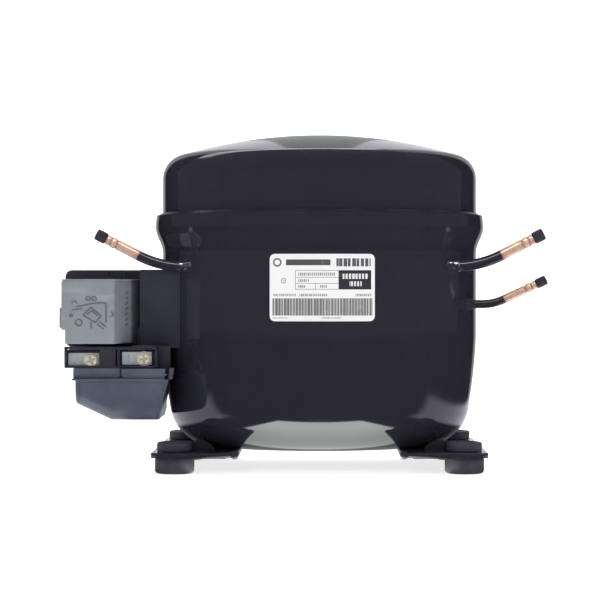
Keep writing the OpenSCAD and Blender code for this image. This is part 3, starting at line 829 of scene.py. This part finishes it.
class COMPRESSOR_OT_housing(PieceOperator, bpy.types.Operator):
    """Lower half with its flared rim, lid with its crown, and the weld between them"""

    bl_idname = "compressor.housing"
    bl_label = "Housing"

    def make(self, all_settings):
        s, colours = all_settings.housing, all_settings.colours
        half, rim, squeeze, base, rim_top, top = housing_sizes()
        enamel = painted("gloss enamel", colours.enamel)
        make_piece("housing_lower", lathe(lower_outline(s), s.steps, squeeze), enamel, "shell",
                   "lower_shell", 50)
        make_piece("housing_lid", lathe(lid_outline(s), s.steps, squeeze), enamel, "shell",
                   "upper_shell", 50)
        bead = [(half - 0.2, rim_top - 1.5), (half + 2.0, rim_top - 1.2), (half + 1.7, rim_top - 0.1),
                (half + 1.1, rim_top + 0.6), (half + 0.5, rim_top + 1.0), (half - 0.2, rim_top + 1.2)]
        weld = lathe(bead, s.steps, squeeze)
        for vert in weld.verts:
            turn = math.atan2(vert.co.y, vert.co.x)
            vert.co.z += 0.14 * math.sin(90 * turn) + 0.08 * math.sin(37 * turn)
        paint = painted("weld enamel", colours.enamel, 0.28, 3.0, 0.3)
        make_piece("rim_weld", weld, paint, "shell", "seam_weld", 60)


class COMPRESSOR_OT_feet(PieceOperator, bpy.types.Operator):
    """Foot plates with turned edges, rubber feet and their steel sleeves"""

    bl_idname = "compressor.feet"
    bl_label = "Feet"

    def plate(self, s, side):
        low, high = span("foot_plate_right")
        top, base = high.z, high.z - s.sheet
        outline = rounded_outline((low.x, low.y), (high.x, high.y), s.corner, 8)
        holes = [rod((85, y, base - 5), (0, 0, 1), 8.05, 20, 0, 48) for y in (-50, 50)]
        plate = carved(prism(outline, "Z", base, top), holes)
        soften(plate, 0.9, 3)
        under = base - s.lip
        lips = [
            block((low.x + 7, y, under), (high.x - 7, y + 2.6, base + 0.8), 0.7)
            for y in (low.y, high.y - 2.6)
        ]
        lips.append(block((high.x - 2.6, low.y + 7, under), (high.x, high.y - 7, base + 0.8), 0.7))
        rolls = [rod((low.x + 2.2, y, top - 1.2), (0, 1, 0), 2.5, 21, 0.8, 24) for y in (low.y, high.y - 21)]
        wings = []
        for sign in (-1, 1):
            rise = [(62, top - 1), (82, top - 1), (80, top + 1.4), (75, top + 5), (70, top + 6.5),
                    (65, top + 4), (62, top + 1)]
            near, far = sorted((sign * 33.5, sign * 36.5))
            wings.append(prism(rise, "Y", near, far, 0.9))
        whole = joined([plate, *lips, *rolls, *wings])
        if side < 0:
            bmesh.ops.rotate(whole, verts=whole.verts, matrix=Matrix.Rotation(math.pi, 3, "Z"))
        return whole

    def make(self, all_settings):
        s, colours = all_settings.feet, all_settings.colours
        enamel = painted("foot enamel", colours.enamel, 0.2, 1.6, 0.35, 0.3)
        make_piece("foot_left", self.plate(s, -1), enamel, "shell", "foot_plate_left")
        make_piece("foot_right", self.plate(s, 1), enamel, "shell", "foot_plate_right")
        top = span("foot_plate_right")[1].z
        rubber = finish("moulded rubber", colours.rubber, 0.55, tint=1.7, scale=160.0, amount=0.6,
                        spread=0.2, grain=1500.0, bump=0.5, dust=0.55, scuffs=0.3)
        outline = [
            (5.25, 0), (9.9, 0), (11.0, 0.5), (11.5, 1.4), (11.6, 7.8), (11.3, 8.8), (10.6, 9.7),
            (8.05, 9.75), (8.05, top + 0.05), (9.9, top + 0.1), (10.35, top + 0.7), (10.4, 17.0),
            (10.1, 17.9), (9.4, 18.3), (7.6, 18.3), (7.2, 17.9), (6.9, 17.0), (5.25, 16.9),
        ]
        places = [(x, y, 0) for x in (-85, 85) for y in (-50, 50)]
        feet = joined([aim(lathe(outline, 64), at) for at in places])
        make_piece("rubber_feet", feet, rubber, "shell", "grommets", 35)
        tube = [(4.25, 0.1), (5.1, 0.1), (5.15, 0.4), (5.15, 17.2), (4.9, 17.6), (4.4, 17.6), (4.25, 17.3)]
        sleeves = joined([aim(lathe(tube, 48), at) for at in places])
        make_piece("foot_sleeves", sleeves, plated("bright zinc", (0.60, 0.61, 0.63)), "shell",
                   "grommet_sleeves", 30)


class COMPRESSOR_OT_tubes(PieceOperator, bpy.types.Operator):
    """Bent tubes, painted near the housing and bare at the end, their brazing and rubber plugs"""

    bl_idname = "compressor.tubes"
    bl_label = "Tubes"

    shapes = {
        "suction": (2.4, 58.6, 21, 3.2, 0.8),
        "discharge": (9, 30, 21.3, 2.5, 0.7),
        "process": (1.8, 57.6, 21.5, 3.0, 0.75),
    }

    def route(self, name):
        """Centres and headings from inside the wall to the open end, with the distance left."""
        first, bend, last, radius, wall = self.shapes[name]
        mount = next(m for m in frame["record"]["mounts"] if m["name"] == name + "_port")
        tip, axis = Vector(mount["pos_m"]) / MM, Vector(mount["axis"]).normalized()
        flat, up = Vector((axis.x, axis.y, 0)).normalized(), Vector((0, 0, 1))
        lift = math.asin(axis.z)
        bent = tip - axis * last
        start = bent - flat * bend * math.sin(lift) - up * bend * (1 - math.cos(lift))
        root = start - flat * first
        left = last + bend * lift + first
        stops = [(root - flat * 5, flat, left + 5), (root, flat, left), (start, flat, left - first)]
        for i in range(1, 17):
            turn = lift * i / 16
            at = start + flat * bend * math.sin(turn) + up * bend * (1 - math.cos(turn))
            stops.append((at, flat * math.cos(turn) + up * math.sin(turn), last + bend * (lift - turn)))
        return stops, tip, axis, root, flat

    def make(self, all_settings):
        s, colours = all_settings.tubes, all_settings.colours
        rubber = finish("plug rubber", colours.plug, 0.5, tint=2.2, scale=300.0, grain=1800.0,
                        bump=0.4, dust=0.25)
        filler = braze("brazing", colours.enamel)
        copper = tube_paint("drawn copper", colours, s.bare)
        rings = []
        for name, (first, bend, last, radius, wall) in self.shapes.items():
            stops, tip, axis, root, flat = self.route(name)
            end = [(s.bare, 0), (10.5, 0), (7.6, 0), (7.2, -0.45), (6.5, -0.5), (6.1, 0.05),
                   (5.7, 0.18), (3.9, 0.18), (3.5, 0.0), (3.1, -0.4), (2.6, -0.4), (2.2, -0.1),
                   (0.5, -0.1), (0.0, -0.3)]
            circles = [(at, heading, radius, far) for at, heading, far in stops if far > s.bare + 0.5]
            for far, change in end:
                circles.append((tip - axis * far, axis, radius + change, far))
            circles += [(tip, axis, radius - wall + 0.1, 0), (tip - axis * 8, axis, radius - wall, 8)]
            make_piece(name + "_pipe", sweep(circles, s.sides), copper, "shell", name + "_tube", 32)
            cap = [(0, -5.5), (radius - wall - 0.25, -5.5), (radius - wall - 0.15, 0.05),
                   (radius + 0.1, 0.05), (radius + 0.3, 0.3), (radius + 0.4, 3.2), (radius + 0.35, 5.9),
                   (radius, 6.4), (radius - 0.6, 6.5), (0, 6.3)]
            make_piece(name + "_cap", aim(lathe(cap, 40), tip, axis), rubber, name + "_plug",
                       name + "_plug", 35)
            wide = s.fillet
            ring = [(radius - 0.3, -5), (radius + wide, -5), (radius + wide, -0.6),
                    (radius + wide * 0.62, 1.0), (radius + wide * 0.32, 2.4), (radius + 0.3, 4.6),
                    (radius - 0.3, 4.8)]
            bead = lathe(ring, 44)
            for vert in bead.verts:
                turn = math.atan2(vert.co.y, vert.co.x)
                swell = 1 + 0.05 * math.sin(3 * turn + len(name)) + 0.03 * math.sin(7 * turn)
                if vert.co.xy.length > radius + 0.2:
                    vert.co.x *= swell
                    vert.co.y *= swell
            rings.append(aim(bead, root, flat))
        make_piece("brazed_rings", joined(rings), filler, "shell", "tube_collars", 60)


class COMPRESSOR_OT_label(PieceOperator, bpy.types.Operator):
    """Curved rating label with a plain printed layout and no words"""

    bl_idname = "compressor.label"
    bl_label = "Label"

    def make(self, all_settings):
        low, high = span("rating_label")
        half, squeeze = housing_sizes()[0], housing_sizes()[2]
        across, up, round_off = (high.x - low.x) / 2, (high.z - low.z) / 2, 3.0
        middle = (low + high) / 2
        bm = bmesh.new()
        bmesh.ops.create_grid(bm, x_segments=48, y_segments=30, size=1.0)
        for vert in bm.verts:
            a, b = vert.co.x * across, vert.co.y * up
            da, db = abs(a) - (across - round_off), abs(b) - (up - round_off)
            if da > 0 and db > 0:
                pull = max(da, db) / math.hypot(da, db)
                a = math.copysign(across - round_off + da * pull, a)
                b = math.copysign(up - round_off + db * pull, b)
            x, z = middle.x + a, middle.z + b
            vert.co = (x, on_wall(x, half + 0.08, squeeze), z)
        bmesh.ops.recalc_face_normals(bm, faces=bm.faces)
        if sum(f.normal.y for f in bm.faces) > 0:
            bmesh.ops.reverse_faces(bm, faces=bm.faces)
        grown = bmesh.ops.extrude_face_region(bm, geom=bm.faces[:])
        moved = [v for v in grown["geom"] if isinstance(v, bmesh.types.BMVert)]
        bmesh.ops.translate(bm, verts=moved, vec=(0, -0.26, 0))
        bmesh.ops.recalc_face_normals(bm, faces=bm.faces)
        film = label_print(all_settings.colours, low.x, low.z)
        make_piece("rating_plate", bm, film, "shell", "rating_label", 40)


def strip(x0, z0, x1, z1, y, wide, tall):
    """A thin raised line on an upright front face."""
    a, b = Vector((x0, 0, z0)), Vector((x1, 0, z1))
    along = (b - a).normalized()
    side = Vector((-along.z, 0, along.x)) * wide / 2
    corners = [a - side, b - side, b + side, a + side]
    return prism([(c.x, c.z) for c in corners], "Y", y - tall, y + 0.15, 0.1, 1)


class COMPRESSOR_OT_relay_box(PieceOperator, bpy.types.Operator):
    """Black rear box of the start gear, open to the front"""

    bl_idname = "compressor.relay_box"
    bl_label = "Relay Box"

    def make(self, all_settings):
        s, colours = all_settings.start_gear, all_settings.colours
        low, high = span("box_housing")
        half, squeeze = housing_sizes()[0], housing_sizes()[2]
        left, right, back, top = low.x, -84.0, high.y, high.z
        front = -15.5
        shell = prism(rounded_outline((left, 73), (right + 8, top), 4, 6), "Y", front, back)
        soften(shell, s.edge, 3)
        hollow = prism(rounded_outline((left + 2.2, 75.2), (right + 14, top - 2.2), 3, 4), "Y", front - 5, back - 2.2)

        def clear():
            """The housing's own space and the room round its terminals."""
            wall = lathe([(0, 50), (half + 0.2, 50), (half + 0.2, 130), (0, 130)], 96, squeeze)
            return [wall, block((-106.4, -19, 70), (-76, 19, 109))]

        arm = block((-106.6, -38, 73), (-79, front + 3, top), s.edge)
        arm_space = block((-104.8, -36, 75.2), (-70, front + 6, top - 2.2))
        opening = block((-108, -32, 75.2), (-100, -14, top - 2.2))
        whole = joined([
            carved(shell, [hollow, *clear()]), carved(arm, [arm_space, opening, *clear()]),
        ])
        ribs = [
            block((x, front - 1.1, top - 9), (x + w, front + 1, top - 0.8), 0.3)
            for x, w in ((-128.4, 1.2), (-118.0, 1.6), (-116.0, 1.2))
        ]
        face = prism(rounded_outline((left + 0.6, 109.5), (-104, top - 0.3), 3.4, 6), "Y", front - 0.2, front + 2, 0.5)
        black = moulded("black moulding", colours.black, 0.33, tint=1.6, coat=0.25)
        make_piece("relay_box", joined([whole, *ribs, face]), black, "shell", "box_housing", 40)


class COMPRESSOR_OT_relay_cover(PieceOperator, bpy.types.Operator):
    """Grey push-on cover with a chamfered corner and a raised diagram"""

    bl_idname = "compressor.relay_cover"
    bl_label = "Relay Cover"

    def diagram(self, s, front):
        """A plain raised line drawing: a turned square, a coil, switch arms and a few ticks."""
        lines = [
            (-142, 97.5, -131, 99.6), (-131, 99.6, -124.6, 99.6), (-124.6, 99.6, -124.6, 88.5),
            (-138, 92.5, -133.5, 97.2), (-133.5, 97.2, -127.5, 92.0), (-127.5, 92.0, -131.0, 88.3),
            (-131.0, 88.3, -138, 92.5), (-135.6, 93.0, -133.0, 95.2), (-133.0, 95.2, -129.6, 92.2),
            (-144.6, 95.5, -138.6, 96.4), (-133.4, 88.6, -133.4, 84.8), (-130.0, 87.5, -126.2, 84.4),
            (-128.6, 88.8, -124.8, 85.8), (-144.8, 99.8, -142.9, 101.2), (-142.9, 101.2, -141.6, 99.4),
            (-121.6, 94.8, -119.9, 93.2), (-121.6, 91.6, -119.9, 93.2),
        ]
        parts = [strip(*line, front, 0.65, s.emboss) for line in lines]
        for x, z, r in ((-140.6, 88.2, 2.2), (-145.0, 92.4, 1.1), (-131.6, 102.3, 1.5), (-135.0, 102.3, 1.5)):
            ring = [(r - 0.55, 0), (r, 0), (r, s.emboss), (r - 0.55, s.emboss)]
            parts.append(aim(lathe(ring, 28), (x, front, z), (0, -1, 0)))
        return parts

    def make(self, all_settings):
        s, colours = all_settings.start_gear, all_settings.colours
        low, high = span("relay_cover")
        front, top, base = low.y, 112.9, low.z
        plan = [(-151.6, -17.3), (-150.9, front), (-119.9, front), (-107.4, -21), (-107.4, -17.3)]
        inner = [(-149.6, -10), (-148.9, front + 2), (-120.7, front + 2), (-109.4, -21.5), (-109.4, -10)]
        body = prism(plan, "Z", base, top)
        soften(body, 1.1, 4, lambda e: all(v.co.y < -18 for v in e.verts) or any(v.co.y < -30 for v in e.verts))
        cuts = [
            prism(inner, "Z", base + 2, top - 2), block((-110.2, -24.5, 70), (-100, -10, 86)),
            block((-156, -60, 70), (-148.6, -10, 84)), block((-156, -50, 86.5), (-151.1, -36, 95.5)),
        ]
        shell = carved(body, cuts)
        lip = prism([(-151.2, -17.4), (-150.4, front + 0.5), (-119.6, front + 0.5), (-107.2, -21), (-107.2, -17.4)],
                    "Z", top - 0.4, top + 0.8, 0.35, 2)
        tab = block((-153.1, -47, 85), (-151.2, -35, 97), 0.5)
        slant = Vector((-107.4 + 119.9, -21 - front, 0)).normalized()
        out = Vector((slant.y, -slant.x, 0))
        ticks = []
        for i in range(7):
            at = Vector((-119.9, front, 0)) + slant * 17.0 + Vector((0, 0, 87 + 3.1 * i))
            ticks.append(aim(block((-0.45, -1.6, -0.15), (0.45, 1.6, s.emboss), 0.12, 2), at, out))
        # The raised diagram and the ticks take the second, darker material: painted shade, so they read dark like
        # shaded engraved lines.
        raised = [*self.diagram(s, front), *ticks]
        for part in raised:
            for face in part.faces:
                face.material_index = 1
        grey = moulded("grey moulding", colours.grey, 0.48, tint=0.82, grain=2600.0, bump=0.5, dust=0.2,
                       scuffs=0.35)
        # Grey at under half its brightness: painted shade on the raised diagram and ticks.
        rubbed_and_shaded = moulded("grey moulding painted darker as shade", [c * 0.45 for c in colours.grey], 0.5, bump=0.5)
        parts = joined([shell, lip, tab, *raised])
        make_piece("relay_cover_shell", parts, [grey, rubbed_and_shaded], "relay_cover", "relay_cover", 32)


class COMPRESSOR_OT_terminals(PieceOperator, bpy.types.Operator):
    """Terminal strip with its two windows, clamp plates and cross-slotted screws"""

    bl_idname = "compressor.terminals"
    bl_label = "Terminal Strip"

    def make(self, all_settings):
        s, colours = all_settings.start_gear, all_settings.colours
        low, high = span("terminal_board")
        left, right, front, base = low.x, high.x, low.y, low.z
        top = 74.0
        parts = [
            block((left, front + 4, base), (right, -16, top - 2.1), 0.6),
            block((left, front - 0.4, base), (right, front + 5, base + 1.3), 0.4),
            block((left, front - 0.4, top - 1.5), (right, front + 5, top), 0.4),
            block((left, front - 0.4, base), (left + 1.5, front + 5, top), 0.4),
            block((-129.0, front - 0.6, base + 0.8), (-119.6, front + 5, top - 0.6), 0.6),
            block((-118.8, front - 0.2, base), (-117.4, front + 5, top), 0.4),
            block((right - 1.3, front - 0.4, base), (right, front + 5, top), 0.4),
            block((-139, front - 1.2, top - 1.2), (-132, front, top - 0.3), 0.3),
            block((-110, front - 1.2, top - 0.6), (-96.5, front + 1, top + 0.9), 0.3),
            block((-108.9, -30, top), (-103.5, -24, 84.8), 0.5),
            block((-109.4, -31.4, 84.2), (-103.2, -24, 85.5), 0.4),
            block((-98, -42, 57.5), (-88.2, -31, 74.5), 0.6),
        ]
        for i in range(3):
            x = -142.5 + 21 * i
            parts.append(block((x, front - 0.9, base - 0.4), (x + 2.0, front + 0.6, base + 1.2), 0.3))
        black = moulded("black moulding", colours.black, 0.33, tint=1.6, coat=0.25)
        make_piece("terminal_strip", joined(parts), black, "shell", "terminal_board", 40)
        low, high = span("clamp_plates")
        plates = [
            block((-147.9, low.y, 62.9), (-129.4, low.y + 1.2, 70.4), 0.35),
            block((-116.2, low.y, 63.2), (-98.6, low.y + 1.2, 71.0), 0.35),
        ]
        for x in (-143.5, -140.5, -112.4, -109.4):
            plates.append(block((x, low.y - 0.35, 63.6), (x + 0.8, low.y + 0.4, 69.8), 0.15, 1))
        zinc = plated("clamp zinc", (0.50, 0.55, 0.56), 0.48, 0.4, 0.35)
        make_piece("clamp_strips", joined(plates), zinc, "shell", "clamp_plates", 40)
        heads = []
        for x, z, turn in ((-134.2, 66.0, 22), (-103.1, 66.9, 8)):
            head = lathe([(0, 0), (3.3, 0), (3.65, 0.35), (3.6, 1.2), (3.1, 1.9), (2.2, 2.35), (1.1, 2.55), (0, 2.6)], 56)
            cross = [block((-0.65, -2.5, 0.3), (0.65, 2.5, 4)), block((-2.5, -0.65, 0.3), (2.5, 0.65, 4))]
            head = carved(head, cross)
            bmesh.ops.rotate(head, verts=head.verts, matrix=Matrix.Rotation(math.radians(turn), 3, "Z"))
            washer = lathe([(0, -0.4), (4.3, -0.4), (4.4, -0.1), (4.2, 0.15), (0, 0.15)], 56)
            heads += [aim(head, (x, low.y - 0.15, z), (0, -1, 0)), aim(washer, (x, low.y - 0.15, z), (0, -1, 0))]
        brass = plated("nickelled brass", (0.90, 0.83, 0.68), 0.32, 0.15, 0.35)
        make_piece("cross_screws", joined(heads), brass, "shell", "terminal_screws", 35)


class COMPRESSOR_OT_lower_cover(PieceOperator, bpy.types.Operator):
    """Slate lower cover with a rolled front edge, and the hinged flap band above it"""

    bl_idname = "compressor.lower_cover"
    bl_label = "Lower Cover"

    def make(self, all_settings):
        s, colours = all_settings.start_gear, all_settings.colours
        low, high = span("lower_cover")
        half, squeeze = housing_sizes()[0], housing_sizes()[2]
        outline = [(-142.8, 54.6), (-142.8, 40.5), (-122.1, 30.9), (-94.8, 30.9), (-88.4, 54.6)]
        body = prism(outline, "Y", low.y, 4.0)
        soften(body, 9.0, 12, lambda e: all(v.co.y < low.y + 0.1 and v.co.z < 41 for v in e.verts))
        soften(body, 1.2, 3, lambda e: all(v.co.z < 54.5 for v in e.verts) and e.calc_face_angle(0) > 0.3)
        wall = lathe([(0, 20), (half - 2.4, 20), (half - 0.6, 70), (0, 70)], 96, squeeze)
        lines = [(-140.7, 42, -140.7, 53), (-92.4, 38, -90.9, 53), (-140.7, 53, -90.9, 53)]
        cover = joined([carved(body, [wall]), *[strip(*line, low.y, 0.7, 0.35) for line in lines]])
        slate = moulded("slate moulding", colours.slate, 0.24, tint=1.5, grain=1500.0, bump=0.12, dust=0.18,
                        coat=0.4)
        make_piece("lower_cover_tray", cover, slate, "shell", "lower_cover", 40)
        low, high = span("cover_flap")
        wall = lathe([(0, 20), (half - 0.4, 20), (half + 0.1, 80), (0, 80)], 96, squeeze)
        band = [
            block((-144.5, -51, 54.5), (-91.1, 4, 56.5), 0.6),
            block((-144.5, -51.6, 55.4), (-116.6, -48.4, 61.6), 0.8),
            prism([(-116.2, 61.3), (-116.2, 58), (-115.5, 56.2), (-114.0, 55.3), (-91.1, 55.3), (-89.9, 61.3)],
                  "Y", -53.2, -50.0, 0.7),
            block((-144.9, -54.6, 54.3), (-90.2, -50.2, 55.5), 0.45),
            block((-143, -40, 56), (-93, -12, 61.6), 0.5),
            prism([(-89.4, 54.8), (-86.6, 54.8), (-85.6, 61.5), (-88.4, 61.5)], "Y", -47, -39, 0.4),
        ]
        make_piece("flap_band", joined([carved(part, [wall.copy()]) for part in band]), slate, "shell", "cover_flap", 40)


class COMPRESSOR_OT_inner_parts(PieceOperator, bpy.types.Operator):
    """Finishes of the working parts inside, which keep their own shapes"""

    bl_idname = "compressor.inner_parts"
    bl_label = "Working Parts"

    def make(self, all_settings):
        colours = all_settings.colours
        iron = finish("cast iron", (0.12, 0.12, 0.125), 0.5, 0.75, tint=0.6, grain=700.0, bump=0.5, depth=0.0002)
        ground = banded("ground steel", (0.52, 0.53, 0.55), (0.34, 0.34, 0.36), "Z", 900.0, 0.22, 1.0, 0.15)
        sheets = banded("sheet stack", (0.26, 0.26, 0.28), (0.06, 0.055, 0.05), "Z", 620.0, 0.42, 0.85)
        wire = banded("winding wire", (0.42, 0.13, 0.05), (0.10, 0.03, 0.015), "DIAGONAL", 480.0, 0.3, 0.7, 0.8)
        zinc = plated("bright zinc", (0.60, 0.61, 0.63))
        spring = finish("spring steel", (0.40, 0.40, 0.42), 0.28, 1.0, grain=1400.0, bump=0.2)
        brass = finish("bearing brass", (0.66, 0.46, 0.19), 0.3, 1.0, tint=0.7, grain=900.0, bump=0.2)
        white = finish("white nylon", (0.72, 0.70, 0.63), 0.5, tint=0.86, grain=1300.0, bump=0.2, dust=0.05)
        fibre = finish("gasket fibre", (0.05, 0.055, 0.05), 0.7, tint=2.0, scale=500.0, grain=1600.0, bump=0.6)
        ceramic = finish("ceramic disc", (0.16, 0.16, 0.17), 0.6, tint=1.4, grain=1100.0, bump=0.4)
        glass = finish("fused glass", (0.10, 0.22, 0.19), 0.15, tint=0.6, scale=600.0, coat=0.5)
        cast = finish("cast aluminium", (0.58, 0.59, 0.60), 0.4, 0.95, tint=0.75, grain=650.0, bump=0.4)
        tube = finish("inner copper", colours.copper, 0.33, 1.0, tint=0.7, grain=900.0, bump=0.15)
        black = moulded("relay moulding", colours.black, 0.42, tint=1.8)
        dress("cylinder_block cylinder_head discharge_muffler", iron)
        dress("crankshaft piston valve_plate reed_stop gallery_plug terminal_pins", ground)
        dress("stator_core rotor_core", sheets)
        dress("stator_windings", wire)
        dress("stator_bolts head_bolts upper_spring_seats lower_spring_seats oil_pickup box_bracket "
              "terminal_cup", zinc)
        dress("suspension_springs suction_reed discharge_reed", spring)
        dress("thrust_washer slide_block", brass)
        dress("suction_muffler lead_connector motor_leads slot_wedges", white)
        dress("cylinder_gasket head_gasket", fibre)
        dress("ptc_disc", ceramic)
        dress("terminal_glass", glass)
        dress("rotor_rings", cast)
        dress("discharge_loop", tube)
        dress("start_relay overload_protector", black)


class COMPRESSOR_OT_stage(PieceOperator, bpy.types.Operator):
    """Pale floor and backdrop, soft lights and the camera"""

    bl_idname = "compressor.stage"
    bl_label = "Stage"

    def paper(self, s):
        """White paper that glossy surfaces see as a bright strip at the foot and a grey room."""
        material, w, surface = start_material("studio paper")
        place = w.node("ShaderNodeTexCoord").outputs["Object"]
        axes = w.node("ShaderNodeSeparateXYZ", {0: place}).outputs
        aside = w.math("ABSOLUTE", axes["X"])
        ahead = w.math("MULTIPLY", axes["Y"], -1.0)
        gloss = w.node("ShaderNodeLightPath").outputs["Is Glossy Ray"]
        behind = w.math("SUBTRACT", 1.0, w.step(w.math("ADD", ahead, w.math("MULTIPLY", aside, 1.7)), 0.10, 0.16))
        strip = w.math("MULTIPLY", w.step(ahead, 0.040, 0.046), w.math("SUBTRACT", 1.0, w.step(ahead, 0.112, 0.120)))
        spread = w.math("ADD", aside, w.math("MULTIPLY", ahead, 0.43))
        strip = w.math("MULTIPLY", strip, w.math("SUBTRACT", 1.0, w.step(spread, 0.096, 0.102)))
        room = w.mix(behind, (0.0, 0.0, 0.0, 1), (0.42, 0.45, 0.45, 1))
        flank = w.math("SUBTRACT", w.step(aside, 0.115, 0.13), w.step(aside, 0.24, 0.28))
        flank = w.math("MULTIPLY", flank, w.math("SUBTRACT", 1.0, w.step(ahead, 0.075, 0.11)))
        room = w.mix(flank, room, (0.95, 0.97, 1.05, 1))
        glow = w.mix(w.step(ahead, 0.04, 0.10), (2.2, 2.4, 2.2, 1), (5.8, 6.2, 5.8, 1))
        room = w.mix(strip, room, glow)
        paper, rough = variation(w, rgba(s.floor), rgba(s.floor, 0.985), 8.0, 0.5, 0.8, 0.05)
        w.feed(surface["Base Color"], w.mix(gloss, paper, (0, 0, 0, 1)))
        w.feed(surface["Emission Color"], w.mix(gloss, (0.72, 0.72, 0.72, 1), room))
        surface["Emission Strength"].default_value = 1.0
        surface["Specular IOR Level"].default_value = 0.1
        w.feed(surface["Roughness"], rough)
        return material

    def floor(self, s):
        bm = bmesh.new()
        sweep_line = [(-1600, 0), (700, 0), *arc(700, 900, 900, -90, 0, 20), (1600, 2600)]
        verts = [bm.verts.new((-3200, y, z)) for y, z in sweep_line]
        edges = [bm.edges.new(pair) for pair in zip(verts, verts[1:])]
        grown = bmesh.ops.extrude_edge_only(bm, edges=edges)
        moved = [v for v in grown["geom"] if isinstance(v, bmesh.types.BMVert)]
        bmesh.ops.translate(bm, verts=moved, vec=(6400, 0, 0))
        bmesh.ops.scale(bm, vec=(MM, MM, MM), verts=bm.verts)
        bmesh.ops.recalc_face_normals(bm, faces=bm.faces)
        if bm.faces[:][0].normal.z < 0:
            bmesh.ops.reverse_faces(bm, faces=bm.faces)
        mesh = bpy.data.meshes.new("studio_sweep")
        for face in bm.faces:
            face.smooth = True
        bm.to_mesh(mesh)
        bm.free()
        mesh.materials.append(self.paper(s))
        obj = bpy.data.objects.new("studio_sweep", mesh)
        bpy.context.collection.objects.link(obj)

    def panel(self, name, at, target, size, power, mirrored=False):
        light = bpy.data.lights.new(name, "AREA")
        light.shape = "RECTANGLE"
        light.size, light.size_y = size[0] * MM, size[1] * MM
        light.energy = power
        obj = bpy.data.objects.new(name, light)
        obj.location = Vector(at) * MM
        aimed = Vector(target) - Vector(at)
        obj.rotation_euler = aimed.to_track_quat("-Z", "Y").to_euler()
        obj.visible_glossy = mirrored
        bpy.context.collection.objects.link(obj)
        return obj

    def make(self, all_settings):
        s = all_settings.stage
        self.floor(s)
        self.panel("overhead", (0, 250, 1500), (0, 0, 100), (1500, 900), 20)
        self.panel("left_side", (-1300, -350, 500), (0, 0, 100), (700, 900), 4)
        self.panel("right_side", (1100, -900, 500), (0, 0, 100), (700, 900), 6)
        self.panel("front_fill", (-500, -1500, 700), (0, 0, 80), (700, 700), 6)
        self.panel("rim_strip", (-250, 520, 900), (0, 0, 180), (900, 160), 0.8, True)
        tube_strip = self.panel("tube_strip", (0, -700, 1000), (0, 0, 120), (1600, 160), 8, True)
        pipes = bpy.data.collections.new("tube_highlights")
        for name in ("suction_pipe", "discharge_pipe", "process_pipe", "brazed_rings"):
            pipes.objects.link(bpy.data.objects[name])
        tube_strip.light_linking.receiver_collection = pipes
        world = bpy.data.worlds.new("studio")
        bpy.context.scene.world = world
        world.use_nodes = True
        w = Wiring(world.node_tree)
        seen = w.node("ShaderNodeLightPath").outputs["Is Camera Ray"]
        back = world.node_tree.nodes["Background"]
        w.feed(back.inputs["Color"], w.mix(seen, (0.088, 0.088, 0.10, 1), (1, 1, 1, 1)))
        camera = bpy.data.cameras.new("camera")
        camera.lens, camera.sensor_width = s.lens, 36
        camera.shift_x, camera.shift_y = -14.5 / 610, -11 / 610
        camera.clip_start, camera.clip_end = 0.05, 20
        obj = bpy.data.objects.new("camera", camera)
        obj.location = (0, -s.distance * MM, s.height * MM)
        obj.rotation_euler = (math.pi / 2, 0, 0)
        bpy.context.collection.objects.link(obj)
        bpy.context.scene.camera = obj
        bpy.context.scene.view_settings.view_transform = "Standard"


class COMPRESSOR_PT_panel(bpy.types.Panel):
    """Lists the pieces and the sizes they use"""

    bl_idname = "COMPRESSOR_PT_panel"
    bl_label = "Hermetic Compressor"
    bl_space_type = "VIEW_3D"
    bl_region_type = "UI"
    bl_category = "Compressor"

    def draw(self, context):
        for operator in OPERATORS:
            self.layout.operator(operator.bl_idname)
        settings = context.scene.compressor
        for group in ("housing", "feet", "tubes", "start_gear", "colours", "stage"):
            box = self.layout.box()
            values = getattr(settings, group)
            for name in values.bl_rna.properties.keys():
                if name not in ("rna_type", "name"):
                    box.prop(values, name)


OPERATORS = (
    COMPRESSOR_OT_housing, COMPRESSOR_OT_feet, COMPRESSOR_OT_tubes, COMPRESSOR_OT_label,
    COMPRESSOR_OT_relay_box, COMPRESSOR_OT_relay_cover, COMPRESSOR_OT_terminals,
    COMPRESSOR_OT_lower_cover, COMPRESSOR_OT_inner_parts, COMPRESSOR_OT_stage,
)

CLASSES = (
    HousingSettings, FootSettings, TubeSettings, StartGearSettings, ColourSettings, StageSettings,
    CompressorSettings, *OPERATORS, COMPRESSOR_PT_panel,
)


def register():
    for kind in CLASSES:
        bpy.utils.register_class(kind)
    bpy.types.Scene.compressor = PointerProperty(type=CompressorSettings)


def unregister():
    del bpy.types.Scene.compressor
    for kind in reversed(CLASSES):
        bpy.utils.unregister_class(kind)


def main():
    register()
    for operator in OPERATORS:
        group, name = operator.bl_idname.split(".")
        getattr(getattr(bpy.ops, group), name)()


if __name__ == "__main__":
    main()
